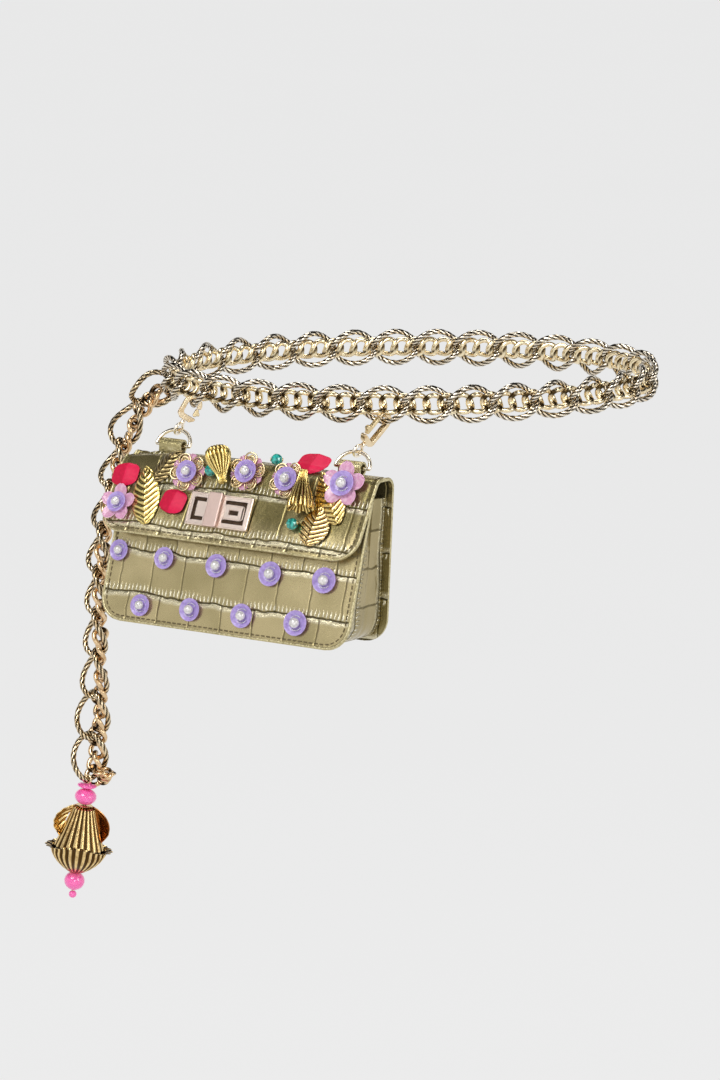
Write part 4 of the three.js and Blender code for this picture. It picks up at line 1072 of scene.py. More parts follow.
# the gusset is the same leather at 0.8 of its brightness: painted shade on the bag's side
side_leather = pressed_leather("side_leather", 7.0, 0.8, None, 0.14)


def leather_piece(piece, name, material, node):
    """Paints the sheet and its edge, and gives the edge a rounded lip"""
    paint(piece, material, edge_paint)
    smooth(soften(piece, 0.55, 3, 50), 50)
    return hand_over(piece, name, bag_place, "leather", [node])


back_and_flap = sheet(110, 130, flap_place, WALL, INWARD, flap_uv)
front = sheet(110, 66, front_place, WALL, INWARD, front_uv)
leather_piece(back_and_flap, "flap_and_back", flap_leather, "back_and_flap")
leather_piece(front, "front", front_leather, "front_panel")

# %% [markdown]
# The gusset is the folded strip between front and back. It runs down one side, under the foot and up the
# other, and at its open ends it folds inwards, which lets the bag close flat. It is one strip of the same
# leather, so its tiles run across it.

# %% Gusset
GUSSET_INSET, GUSSET_TOP, GUSSET_DIP = 2.0, 12.0, 3.0
GUSSET_HALF = 17  # half the strip's width, for its tiles
CREASE_HEIGHT, CREASE_REACH = 0.35, 0.06  # the sharp line that the fold leaves in the middle
PUCKER, PUCKERS = 0.25, 41
gusset_side = FRONT_WIDTH / 2 - GUSSET_INSET
gusset_foot = -BAG_HEIGHT + GUSSET_INSET
gusset_corner = CORNER - GUSSET_INSET
bend = pi / 2 * gusset_corner
upright = -GUSSET_TOP - gusset_foot - gusset_corner
GUSSET_LENGTH = 2 * (upright + bend + gusset_side - gusset_corner)


def gusset_line(length):
    """A point of the strip's line in X and Z and its direction, from the top left end"""
    if length > GUSSET_LENGTH / 2:  # the right half mirrors the left
        point, way = gusset_line(GUSSET_LENGTH - length)
        return Vector((-point.x, point.y)), Vector((way.x, -way.y))
    if length < upright:
        return Vector((-gusset_side, -GUSSET_TOP - length)), Vector((0, -1))
    turn = min((length - upright) / gusset_corner, pi / 2)
    beyond = max(0, length - upright - bend)
    middle = Vector((-gusset_side + gusset_corner, gusset_foot + gusset_corner))
    edge = middle - gusset_corner * Vector((cos(turn), sin(turn)))
    return edge + Vector((beyond, 0)), Vector((sin(turn), -cos(turn)))


def gusset_place(across, along):
    point, way = gusset_line(along * GUSSET_LENGTH)
    open_share = min(max(1 + point.y / (BAG_HEIGHT - CORNER), 0), 1)
    fold = GUSSET_DIP * open_share * (1 - abs(across) ** 1.5)
    fold += CREASE_HEIGHT * exp(-((across / CREASE_REACH) ** 2))
    fold += PUCKER * sin(along * PUCKERS + 3 * across) * (1 - across**2)
    x, z = point.x - way.y * fold, point.y + way.x * fold
    back, before = -WALL - GAP, front_face(z) + (WALL + GAP) / cos(SLOPE)
    return Vector((x, back + (before - back) * (1 - across) / 2, z))


def gusset_uv(across, along):
    return (along * GUSSET_LENGTH / UV_UNIT, across * GUSSET_HALF / UV_UNIT)


gusset = sheet(20, 200, gusset_place, WALL, INWARD, gusset_uv)
leather_piece(gusset, "gusset_strip", side_leather, "gusset")

# %% [markdown]
# The leather pieces are turned at their edges and sewn. The turned edge shows as a light round piping, and
# inside it run short stitches of dark thread, each a little sunk where it enters. One stitch is modelled and
# copied along lines at a constant distance from the edge.

# %% Piping and stitches
STITCH = (2.3, 0.7, 0.5)
STITCH_STEP = 3.4
PIPING = 0.8


def rim_line(half, reach, inset, step):
    """Across and up for points inside an edge: down the left side, along the end and up the right side"""
    side, radius = half - inset, CORNER - inset
    line = []
    height = reach
    while height > CORNER:
        line.append((-side, height))
        height -= step
    turns = round(radius * pi / 2 / step)
    flat = side - radius
    line += [(-x, y) for x, y in arc(radius, 0, -90, turns, (flat, CORNER))]
    steps = round(2 * flat / step)
    line += [(-flat + 2 * flat * i / steps, inset) for i in range(1, steps)]
    line += arc(radius, -90, 0, turns, (flat, CORNER))
    height = CORNER + step
    while height < reach:
        line.append((side, height))
        height += step
    return line


def flap_lift(u, e):
    """The visual flap's face over the CAD form, e measured from its free edge"""
    s = PROFILE_LENGTH - e
    return wave_lift(u, s, flap_edge(u, s)) + top_wrinkles(u, s)


def on_flap(u, e, lift=0.0):
    return flap_point(u, PROFILE_LENGTH - e, lift + flap_lift(u, e))


def on_front(u, e, lift=0.0):
    return front_point(u, e, lift + wave_lift(u, e, FRONT_WIDTH / 2 - abs(u)))


def seat_on(surface, u, e, lift=0.0, turn=0.0):
    """A frame on a sheet: X across, Y up, Z out, turned by some degrees"""
    reach = 0.5
    across = (surface(u + reach, e) - surface(u - reach, e)).normalized()
    up = (surface(u, e + reach) - surface(u, e - reach)).normalized()
    out = across.cross(up).normalized()
    return frame_at(surface(u, e, lift), across, out.cross(across), out) @ turning(turn, "Z")


def stitch():
    """A short block of thread whose ends dip into the leather"""
    bpy.ops.mesh.primitive_cube_add(size=1)
    piece = reshape(bpy.context.active_object, lambda co: Vector(a * b for a, b in zip(co, STITCH)))
    smooth_flat(apply_modifier(piece, "BEVEL", width=0.2, segments=2))
    reshape(piece, lambda co: Vector((co.x, co.y, co.z - 0.16 * (2 * co.x / STITCH[0]) ** 2)))
    return paint(piece, thread)


def sew(surface, line, name, lift):
    """Copies the stitch along a line of places on a sheet"""
    places = []
    for first, last in zip(line, line[1:]):
        u, e = (first[0] + last[0]) / 2, (first[1] + last[1]) / 2
        turn = atan2(last[1] - first[1], last[0] - first[0])
        places.append(seat_on(surface, u, e, lift) @ Matrix.Rotation(turn, 4, "Z"))
    seam = repeat(stitch(), places)
    print(name, len(places), "stitches")
    hand_over(seam, name, bag_place, "leather")


def trim_edge(surface, line, name, lift):
    cord = wire([surface(u, e, lift) for u, e in line], PIPING, False, 3)
    hand_over(paint(cord, edge_paint), name, bag_place, "leather")


flap_seam = rim_line(BAG_WIDTH / 2, flap_straight + 16, STITCH_IN, STITCH_STEP)
front_seam = rim_line(FRONT_WIDTH / 2, FRONT_LENGTH - 3, STITCH_IN, STITCH_STEP)
sew(on_flap, flap_seam, "flap_stitches", 0.12)
sew(on_front, front_seam, "front_stitches", 0.05)
trim_edge(on_flap, rim_line(BAG_WIDTH / 2, PROFILE_LENGTH - CORNER, 0.6, 2.0), "flap_piping", -0.6)
trim_edge(on_front, rim_line(FRONT_WIDTH / 2, FRONT_LENGTH, 0.6, 2.0), "front_piping", -0.6)

# %% [markdown]
# Two straps stand up from the back's upper edge, and each holds a D ring. A strap is one strip of leather
# that goes up, over the ring's bar and down again. The D is bent from round wire, with its corners softened.

# %% Tabs and D rings
RING_SPACING, RING_SHIFT = 116.6, -5.0
RING_HALF, RING_HIGH, RING_WIRE, RING_LEAN = 10.8, 9.6, 1.1, radians(30)
TAB_WIDTH, TAB_LENGTH, TAB_RISE, TAB_STRAP = 14.0, 12.0, 1.6, 1.2
tab_outer = RING_WIRE + GAP + TAB_STRAP
bar_depth = GAP + tab_outer
RING_X = {"left": RING_SHIFT - RING_SPACING / 2, "right": RING_SHIFT + RING_SPACING / 2}
tab_tail = GAP + 2 * TAB_STRAP
tab_drop = acos((tab_tail - bar_depth) / tab_outer)
tab_line = [(GAP, -TAB_LENGTH + 2 * i) for i in range(6)]
tab_line += [
    (bar_depth - x, TAB_RISE + y)
    for x, y in arc(tab_outer, 0, 180 + 90 - 2, 24)
    if bar_depth - x <= tab_tail + 0.001 or y > -tab_outer * sin(tab_drop)
]
tab_line += [(tab_tail, -TAB_LENGTH + 8 - 2 * i) for i in range(5)]


def tab_place(across, along):
    place = along * (len(tab_line) - 1)
    first = min(int(place), len(tab_line) - 2)
    y, z = Vector(tab_line[first]).lerp(Vector(tab_line[first + 1]), place - first)
    return Vector((-across * TAB_WIDTH / 2, y, z))


def d_line(angle):
    rise = sin(angle)
    high = RING_HIGH * (rise + sqrt(rise * rise + 0.012)) / (1 + sqrt(1.012))
    return Vector((RING_HALF * cos(angle), high * sin(RING_LEAN), high * cos(RING_LEAN)))


def d_facing(angle):
    return Vector((0, -cos(RING_LEAN), sin(RING_LEAN)))


for side, x in RING_X.items():
    strap = soften(sheet(10, len(tab_line) - 1, tab_place, TAB_STRAP), 0.3, 2, 50)
    paint(strap, tab_leather, edge_paint)
    hand_over(strap, f"tab_{side}", bag_place @ moving(x, 0, 0), "leather", [f"ring_tab_{side}"])
    bent = paint(ring(d_line, d_facing, RING_WIRE, 96, 14), pale_plate)
    place = bag_place @ moving(x, bar_depth, TAB_RISE)
    hand_over(bent, f"ring_{side}", place, "gold", [f"d_ring_{side}"])

# %% [markdown]
# A snap hook is cast in one piece: a flat bend, a stem, and a base that a swivelling eye turns in. Its gate
# is a separate bar with a thumb knob, sprung at its foot. The outlines are cut as plates with round edges.

# %% Snap hooks
ARCH, BAR, HOOK_THICK, HOOK_BASE, HOOK_TIP = 2.9, 2.5, 3.4, 3.4, 0.7
GATE_WIDTH, GATE_THICK, GATE_THUMB = 2.0, 2.4, 2.2
EYE_HOLE, EYE_WIRE, EYE_POST = 2.3, 0.9, 1.4
HOOK_PLACES = {"left": (-122.523, -43.317, -9.406), "right": (-15.201, -94.717, -9.083)}
HOOK_TURNS = {  # the gate's side, the way up, and the length down to the ring
    "left": ((0.84414, 0.11241, -0.52421), (0.49675, 0.20379, 0.84363), 16.14),
    "right": ((-0.38673, -0.59478, 0.70475), (0.6079, 0.41025, 0.67982), 22.89),
}


def hung_at(place, x_axis, up):
    x_axis, up = Vector(x_axis), Vector(up)
    return frame_at(place, x_axis, up, x_axis.cross(up))


def hook_body(foot):
    outer, shoulder = ARCH + BAR, foot + HOOK_BASE
    outline = [(-0.55 * outer, foot), (0.55 * outer, foot), (0.95 * outer, shoulder - 1.6)]
    outline += [(outer, shoulder - 0.6), (outer - 0.4, shoulder)]
    outline += [(-ARCH + 0.9, shoulder), (-ARCH, shoulder + 1.2)]
    outline += arc(ARCH, 180, 0, 18) + [(ARCH, -HOOK_TIP), (outer - 0.6, -HOOK_TIP)]
    outline += arc(outer, 0, 180, 24) + [(-outer, shoulder), (-0.95 * outer, shoulder - 1.6)]
    return paint(plate(outline, HOOK_THICK, 0.75, 3), warm_plate)


def hook_gate(height):
    half = GATE_WIDTH / 2
    thumb = min(GATE_THUMB, 0.4 * height)
    knob = ((1, 0.4), (0.9, 1.1), (0.6, 1.5), (0, 1.8))
    outline = arc(half, 180, 360, 8) + [(half + x * thumb, y * thumb) for x, y in knob]
    outline += [(half, height), (-half, height)]
    return paint(plate(outline, GATE_THICK, 0.35, 2), soft_gold)


def circle(radius, wire, steps, sides):
    def line(angle):
        return Vector((radius * cos(angle), radius * sin(angle), 0))

    return ring(line, lambda angle: Vector((0, 0, 1)), wire, steps, sides)


def swivel_eye(middle, foot):
    eye = lifted(circle(EYE_HOLE + EYE_WIRE, EYE_WIRE, 48, 12), 0, middle, 0)
    top, low = foot - GAP, middle + EYE_HOLE + EYE_WIRE
    outline = [(0, low - 0.4), (0.95, low - 0.4), (0.95, low + 0.3), (EYE_POST, low + 0.7)]
    outline += [(EYE_POST, top - 0.5), (EYE_POST - 0.3, top), (0, top)]
    post = turned(outline, 24)
    post.data.transform(Matrix.Rotation(-pi / 2, 4, "X"))
    return paint(join([eye, post]), pale_plate)


for side, (x_axis, up, reach) in HOOK_TURNS.items():
    place = HOOK_PLACES[side]
    matrix = hung_at(place, x_axis, up)
    eye_middle = -reach + EYE_HOLE - RING_WIRE - 2 * GAP
    foot = eye_middle + EYE_HOLE + 2 * EYE_WIRE + EYE_POST + GAP
    pivot = (ARCH + GATE_WIDTH / 2, foot + HOOK_BASE + GAP + 0.7 * GATE_WIDTH, 0)
    hand_over(hook_body(foot), f"snap_hook_{side}", matrix, "gold", [f"hook_{side}"])
    gate = hook_gate(-HOOK_TIP - GAP - pivot[1])
    gate_place = matrix @ moving(*pivot)
    hand_over(gate, f"snap_gate_{side}", gate_place, "gold", [f"gate_{side}"], f"gate_{side}")
    ring_axis = bag_place.to_3x3() @ Vector((1, 0, 0))
    across = (ring_axis - Vector(up) * ring_axis.dot(Vector(up))).normalized()
    eye_place = hung_at(place, Vector(up).cross(across), up)
    hand_over(swivel_eye(eye_middle, foot), f"eye_{side}", eye_place, "gold", [f"swivel_eye_{side}"])
    print(side, "hook", round(ARCH + BAR - eye_middle + EYE_HOLE + 2 * EYE_WIRE, 1), "mm long")

# %% [markdown]
# The turn lock is a rose plate with two framed slots. A slab in the middle turns on a post, and once it lies
# along the slots the flap is free. A dark sheet behind the slots and the window is painted shade, so that they
# read as deep.

# %% Turn lock
LOCK_U, LOCK_E, LOCK_WIDE, LOCK_HIGH, LOCK_THICK, TURN_OFFSET = -8.0, 18.6, 40.0, 19.0, 2.0, -3.0
TURN_WIDE, TURN_HIGH, TURN_THICK = 8.6, 20.0, 2.2
SLOT_END, SLOT_START, SLOT_HALF, SLOT_ARM = 17.0, 6.2, 6.6, 2.3  # the start is measured from the slab
WINDOW_X, WINDOW_WIDE, WINDOW_HIGH = 9.4, 6.2, 3.0
CUT_DEPTH = 3.0  # the cutters reach further out than the plate's face


def cad_flap(u, e, lift=0.0):
    """The flap's face as the CAD model has it"""
    return flap_point(u, PROFILE_LENGTH - e, lift)


lock_seat = bag_place @ seat_on(cad_flap, LOCK_U, LOCK_E, GAP)


def panel(wide, high, corner):
    """The outline of a rectangle with rounded corners"""
    outline = []
    for x, y, start in ((1, 1, 0), (-1, 1, 90), (-1, -1, 180), (1, -1, 270)):
        outline += arc(corner, start, start + 90, 4, (x * (wide / 2 - corner), y * (high / 2 - corner)))
    return outline


def carve(piece, cutter):
    """Cuts one piece out of another"""
    apply_modifier(piece, "BOOLEAN", operation="DIFFERENCE", object=cutter, solver="EXACT")
    bpy.data.objects.remove(cutter)
    return piece


def slot_frame(outer, inner, half, thick):
    """A square slot, open towards the slab: outer and inner are its ends in X"""
    back = outer - (thick if outer > 0 else -thick)
    return [
        (outer, -half), (inner, -half), (inner, -half + thick), (back, -half + thick),
        (back, half - thick), (inner, half - thick), (inner, half), (outer, half),
    ]


face = lifted(plate(panel(LOCK_WIDE, LOCK_HIGH, 0.9), LOCK_THICK, 0.35, 2), 0, 0, LOCK_THICK / 2)
for outer, inner in ((-SLOT_END, TURN_OFFSET - SLOT_START), (SLOT_END, TURN_OFFSET + SLOT_START)):
    slot = plate(slot_frame(outer, inner, SLOT_HALF, SLOT_ARM), CUT_DEPTH)
    carve(face, lifted(slot, 0, 0, LOCK_THICK + 0.2))
window = plate(panel(WINDOW_WIDE, WINDOW_HIGH, 0.3), CUT_DEPTH)
carve(face, lifted(window, WINDOW_X, 0, LOCK_THICK + 0.5))
smooth_flat(face, 30)
# painted shade: a dark sheet behind the slots and in the window
shade_backing = lifted(plate(panel(LOCK_WIDE - 3, LOCK_HIGH - 3, 0.5), 0.35), 0, 0, 0.68)
in_window = plate(panel(WINDOW_WIDE - 0.4, WINDOW_HIGH - 0.4, 0.3), 0.3)
shade_backing = paint(join([shade_backing, lifted(in_window, WINDOW_X, 0, LOCK_THICK - 0.9)]), slot_shade)
frames = []
for wide, high, x in ((LOCK_WIDE - 1.6, LOCK_HIGH - 1.6, 0), (12.6, 7.4, 9.6)):
    line = [(px + x, py, LOCK_THICK - 0.05) for px, py in panel(wide, high, 0.8)]
    frames.append(wire(line, 0.32, True, 2))
face = paint(join([face] + frames), rose_plate)
hand_over(join([face, shade_backing]), "lock_face", lock_seat, "rose_gold", ["lock_plate"])
slab = plate(panel(TURN_WIDE, TURN_HIGH, 0.8), TURN_THICK, 0.5, 3)
lifted(slab, 0, 0, LOCK_THICK + GAP + TURN_THICK / 2)
post = lifted(turned([(0, 0), (1.9, 0), (1.9, 2.4), (0, 2.4)], 24), 0, 0, 0.2)
slab = paint(join([slab, post]), rose_slab)
slab_place = lock_seat @ moving(TURN_OFFSET, 0, 0)
hand_over(slab, "lock_slab", slab_place, "rose_gold", ["lock_turn"], "lock_turn")

# %% [markdown]
# Each sequin is a shallow lilac cup. A pearl sits in it, held by stitches, and two short rows of tiny seed
# stitches curve round the pearl. It is modelled once and copied to all its places, with the parts that
# belong together kept in one piece.

# %% Sequins and pearls
SEQUIN, PEARL = 5.8, 2.4
FRONT_SEQUINS = (
    (-73.2, 39.4), (-42.5, 38.9), (-7.9, 39), (26.7, 38.5), (60.4, 38.3),
    (-53.1, 10.4), (-20.7, 12.1), (13, 13), (47.2, 12.9),
)


def sequin():
    """A lilac cup with its pearl, and the thread beside it"""
    outline = [(0.5, 0.1), (3.9, 0.1), (4.5, 0.35), (SEQUIN - 0.35, 1.35), (SEQUIN, 1.5)]
    outline += [(SEQUIN - 0.1, 1.75), (SEQUIN - 0.5, 1.7), (4.3, 0.8), (3.7, 0.5), (0.5, 0.5)]
    cup = paint(turned(outline, 48), lilac_film)
    bead = paint(ball(PEARL, (0, 0, 2.3), 20, 0.94), pearl)
    spots = arc(3.3, 90 - 42, 90 + 42, 6) + arc(3.3, 270 - 42, 270 + 42, 6)
    seeds = paint(join([ball(0.36, (x, y, 0.85), 8) for x, y in spots]), seed_thread)
    return join([cup, bead, seeds])


sequin_model = sequin()


def grown(u):
    """The sequins are cut a little larger towards the right"""
    return 1.03 + 0.0016 * (u + 73)


for number, (u, e) in enumerate(FRONT_SEQUINS, 1):
    twin = copy_to(sequin_model, turning(12 * sin(5 * number), "Z") @ Matrix.Scale(grown(u), 4))
    seat = bag_place @ seat_on(on_front, u, e, 0.25)
    hand_over(twin, f"sequin_{number}", seat, "lilac", [f"front_sequin_{number}"])

# %% [markdown]
# The flowers have five round pink petals of clear film. Three of them also carry a second ring of gold
# petals bent from wire, with a small curl in each. On top sits a lilac sequin with its pearl.

# %% Flowers
FLOWERS = {  # across, up, petal length, height of the petals, filigree length, turn
    "left_corner": (-72.4, 15.5, 11.0, 2.0, 0.0, 20),
    "left": (-34.6, 38.2, 10.6, 1.6, 11.0, 10),
    "middle": (1.2, 42.6, 10.4, 0.3, 11.4, 50),
    "right": (27.4, 41.2, 9.6, 0.3, 10.6, 25),
    "right_corner": (63.4, 42.4, 13.0, 2.6, 0.0, 18),
}
PETALS = 5


def film_petal(length):
    """One petal: narrow at the middle of the flower, round at its end and cupped"""

    def place(across, along):
        reach = 1.2 + (length - 1.2) * along
        half = 0.36 * length * (0.2 + 0.8 * sin(pi * min(1, 0.16 + 0.62 * along)) ** 1.3)
        if along > 0.72:
            half *= sqrt(max(0.02, 1 - ((along - 0.72) / 0.29) ** 2))
        cup = 0.9 * (across**2) * along + 0.9 * along**2 + 0.12 * sin(9 * across) * along
        return Vector((reach, across * half, cup))

    return sheet(10, 16, place, 0.35, BOTH_WAYS)


def gold_petal(length):
    """A petal of gold wire: its outline, an inner line and a curl"""

    def line(share, grow, lift):
        turn = 2 * pi * share
        x = length * (0.56 + 0.42 * grow * cos(turn))
        y = 0.3 * length * grow * sin(turn) * (1 + 0.35 * cos(turn))
        return (x, y, lift + 0.9 * (x / length) ** 2 + 0.25 * sin(2 * turn))

    outer = wire([line(i / 28, 1.0, 0.3) for i in range(28)], 0.5, True, 3)
    inner = wire([line(i / 20, 0.62, 0.4) for i in range(20)], 0.34, True, 3)
    middle = 0.56 * length
    curl = []
    for i in range(20):
        reach = length * (1 - i / 22)
        curl.append((middle + 0.28 * reach * cos(i / 3), 0.16 * reach * sin(i / 3), 0.8))
    oval = [(middle + 0.36 * length * x, 0.24 * length * y) for x, y in arc(1.0, 0, 337.5, 15)]
    return join([outer, inner, wire(curl, 0.3, False, 2), lifted(plate(oval, 0.3), 0, 0, 0.35)])


for name, (u, e, length, level, filigree, turn) in FLOWERS.items():
    seat = bag_place @ seat_on(on_flap, u, e, GAP, turn)
    spokes = [Matrix.Rotation(2 * pi * i / PETALS, 4, "Z") for i in range(PETALS)]
    layers = [moving(0, 0, level + 0.14 * (i % 2) - GAP) @ spoke for i, spoke in enumerate(spokes)]
    petals = paint(repeat(film_petal(length), layers), pink_film)
    if level > 1:
        stem = paint(turned([(0, 0), (1.5, 0), (1.2, level), (0, level)], 16), thread)
        petals = join([petals, stem])
    hand_over(petals, f"film_petals_{name}", seat, "pink_petal", [f"petals_{name}"])
    level += 0.8
    if filigree:
        half_step = Matrix.Rotation(pi / PETALS, 4, "Z")
        layers = [moving(0, 0, level) @ half_step @ spoke for spoke in spokes]
        lace = paint(repeat(gold_petal(filigree), layers), soft_gold)
        hand_over(lace, f"wire_petals_{name}", seat, "gold", [f"filigree_{name}"])
        level += 1.1
    top = copy_to(sequin_model, moving(0, 0, level) @ Matrix.Scale(grown(u), 4))
    hand_over(top, f"flower_sequin_{name}", seat, "lilac", [f"flower_disc_{name}"])
bpy.data.objects.remove(sequin_model)

# %% [markdown]
# The leaves are stamped from thin gold sheet. A vein runs up the middle and ribs slant away from it on both
# sides. They lie on the curved flap, so each is drawn flat first and then bent onto the leather.

# %% Leaves and red petals
LEAVES = {  # across, up, width, length, ribs, turn, lift, metal, slot
    "left": (-57.4, 22.2, 16.6, 35.0, 10, 21, 0.9, bright_gold, "gold"),
    "dark": (-50.6, 41.4, 11.5, 24.0, 8, -24, 0.7, dark_bronze, "dark_gold"),
    "right": (56.6, 34.0, 17.0, 33.0, 10, 36, 0.9, deep_gold, "gold"),
    "pointed": (53.6, 17.2, 17.5, 22.0, 8, -4, 1.5, antique_gold, "gold"),
}
RIB_SLANT, RIB_DEPTH = 1.6, 0.55
RED_PETALS = {  # across, up, width, length, turn, how far it stands up, as a share of its length
    "left": (-75.2, 32.8, 17.6, 13.4, 5, 0.0),
    "middle": (-38.9, 20.8, 16.8, 13.4, -8, 0.0),
    "top": (38.0, 53.0, 20.0, 13.0, 6, 0.5),
}


def lay_on_flap(piece, u, e, turn, lift):
    """Bends a piece that was drawn flat onto the flap's face"""
    turn = radians(turn)

    def move(co):
        x, y = co.x * cos(turn) - co.y * sin(turn), co.x * sin(turn) + co.y * cos(turn)
        return on_flap(u + x, e + y, lift + co.z)

    return reshape(piece, move)


def leaf(width, length, ribs):
    """A leaf drawn flat, with ribs that slant up and out from its vein"""

    def outline(share):
        return 0.05 + 0.95 * sin(pi * share**0.85) ** 0.75

    def rib(across, along):
        return abs(sin(pi * (ribs * along - RIB_SLANT * abs(across)))) ** 0.8

    def place(across, along):
        share = outline(along)
        vein = 0.5 * exp(-((across * share / 0.1) ** 2))
        fold = share * (1 - abs(across) ** 1.4)
        height = fold + RIB_DEPTH * rib(across, along) * (1 - abs(across) ** 6) + vein
        return Vector((0.5 * width * share * across, (along - 0.5) * length, height))

    piece = sheet(26, 90, place, 0.4, OUTWARD)
    mark_grooves(piece, lambda co: 0.6 * (1 - rib(*leaf_share(co, outline, width, length))))
    return piece


def leaf_share(co, outline, width, length):
    along = min(max(co.y / length + 0.5, 0), 1)
    return min(max(co.x / (0.5 * width * outline(along)), -1), 1), along


for name, (u, e, width, length, ribs, turn, lift, metal, slot) in LEAVES.items():
    blade = paint(leaf(width, length, ribs), metal, bright_gold)
    lay_on_flap(blade, u, e, turn, lift)
    hand_over(blade, f"gold_leaf_{name}", bag_place, slot, [f"leaf_{name}"])


def red_petal(width, length):
    """A folded petal: two faces that meet in a ridge, painted as a lit face and a darker shaded face"""

    def place(across, along):
        round_end = sqrt(max(0.0, 1 - (2 * along - 1) ** 2))
        share = (0.12 + 0.88 * round_end) * (1 + 0.08 * sin(7 * along + 1))
        height = 1.5 * share * (1 - abs(across)) + 0.35 * across * sin(5 * along)
        return Vector((0.5 * width * share * across, (along - 0.5) * length, height))

    piece = sheet(16, 18, place, 0.4, OUTWARD)
    # painted light and shade: one face of the fold gets the lit red, the other the shaded red
    for face in piece.data.polygons:
        face.material_index = 1 if face.center.x > 0 else 0
    return paint(piece, red_shaded_face, red_lit_face)


for name, (u, e, width, length, turn, stand) in RED_PETALS.items():
    blade = reshape(red_petal(width, length), lambda co: co + Vector((0, 0, stand * (co.y + length / 2))))
    lay_on_flap(blade, u, e, turn, 0.9)
    hand_over(blade, f"folded_petal_{name}", bag_place, "red", [f"red_petal_{name}"])

# %% [markdown]
# Two large beads are cast as fluted bells. One tapers to a point below, and the other is turned with its
# scalloped cup down. Small teal beads with ground faces fill the gaps.

# %% Bell and teal beads
BELLS = {  # across, up, length, radius at the wide end, share below the seat, turn, flare, metal
    "left": (-11.0, 39.0, 22.0, 7.4, 0.28, 26, 0.0, bright_gold),
    "right": (42.6, 34.0, 25.0, 7.6, 0.5, 190, 0.3, deep_gold),
}
BELL_TIP = 2.6
BULB = ((0.5, 0.3), (0.8, 0.5), (0.97, 0.68), (1, 0.78), (0.93, 0.88), (0.7, 0.96), (0.35, 1), (0, 1))
TEAL = {"left": (-20.6, 40.4), "middle": (16.0, 50.0), "right": (40.6, 16.4)}
UPRIGHT = Matrix.Rotation(-pi / 2, 4, "X")  # a turned piece's axis, from Z to Y


def scalloped(piece, count, bottom, reach, height, flare, first=0.0, droop=0.0):
    """Draws a rim out into tips, the first at an angle in degrees. Droop lets it and its opposite hang."""

    def move(co):
        share = min(max((co.z - bottom) / reach, 0), 1) ** 2
        turn = atan2(co.y, co.x) - radians(first)
        swing = cos(count * turn) * share
        grow = 1 + flare * swing
        rise = height * swing - droop * (0.4 + cos(2 * turn)) * share
        return Vector((co.x * grow, co.y * grow, co.z + rise))

    return reshape(piece, move)


for name, (u, e, length, wide, down, turn, flare, metal) in BELLS.items():
    low = -down * length
    top = low + (1 - 0.4 * flare) * length
    shell = [(0, low), (0.8 * BELL_TIP, low), (BELL_TIP, low + 0.8), (0.85 * BELL_TIP, low + 1.8)]
    if flare:  # an open cup
        shell += [(0.55 * wide, low + 0.35 * length), (0.84 * wide, low + 0.6 * length)]
        shell += [(wide, top - 0.08 * length), (0.99 * wide, top), (0.9 * wide, top + 0.4)]
        shell += [(0.8 * wide, top - 0.6), (0.55 * wide, top - 3), (0, top - 5)]
    else:  # a closed bulb
        shell += [(x * wide, low + y * length) for x, y in BULB]
    bell = fluted(turned(shell, 144), 18, 1.1, BELL_TIP / 2, 0.9)
    if flare:
        scalloped(bell, 7, top - 0.2 * length, 0.2 * length, 0.7, 0.07)
    bell.data.transform(UPRIGHT)
    paint(bell, metal)
    seat = bag_place @ seat_on(on_flap, u, e, wide + 0.6, turn)
    hand_over(bell, f"bell_{name}", seat, "gold", [f"bell_bead_{name}"])

for name, (u, e) in TEAL.items():
    bpy.ops.mesh.primitive_ico_sphere_add(subdivisions=2, radius=3.4)
    bead = apply_modifier(bpy.context.active_object, "BEVEL", width=0.12, segments=1)
    paint(bead, teal)
    cap_places = [moving(x, 0, 0) @ turning(90, "Y") for x in (-3.3, 3.3)]
    caps = paint(repeat(circle(0.8, 0.3, 20, 8), cap_places), soft_gold)
    seat = bag_place @ seat_on(on_flap, u, e, 3.7, 20)
    hand_over(join([bead, caps]), f"cut_bead_{name}", seat, "teal", [f"teal_bead_{name}"])

# %% [markdown]
# The pendant hangs from the last link on a pin. From the top come two pink beads, a collar with two metal
# petals, a fluted cone, a scalloped cup, and two more beads. All of it is turned round the pin's axis first,
# and then the ribs are pressed in.

# %% Pendant
PENDANT = hung_at((-184.858, -26.037, -230.872), (-0.70077, 0.70656, 0.09849), (0.13917, 0, 0.99027))
PIN = 0.6
COLLAR_TOP = -15.55
LOW_BEAD_TOP = -55.35
CONE = (-16.45, 24.0, 6.6, 14.4)  # top, height, radii
CUP = (-38.45, 16.6, 18.4, 16.0, 5.0)  # top, height, radii at rim, neck and foot


def on_pin(piece, name, slot, node, turn=0.0):
    piece.data.transform(turning(turn, "Y") @ UPRIGHT)
    return hand_over(piece, name, PENDANT, slot, [node], "pendant")


def bead(radius, height, top):
    """A drilled bead with a small dimple at each hole"""
    bore, middle = PIN + 0.3, top - height / 2
    outline = [(bore, middle - height * 0.44)]
    for x, y in arc(1.0, -78, 78, 18):
        outline.append((radius * x, middle + height / 2 * y))
    outline.append((bore, middle + height * 0.44))
    return paint(turned(outline, 40), pink_gloss)


on_pin(bead(5.6, 3.2, -2.3), "flat_bead", "pink", "pendant_upper_bead")
on_pin(bead(6.3, 9.6, -5.65), "round_bead", "pink", "pendant_main_bead")
on_pin(bead(5.9, 11.0, LOW_BEAD_TOP), "low_bead", "pink", "pendant_lower_bead")

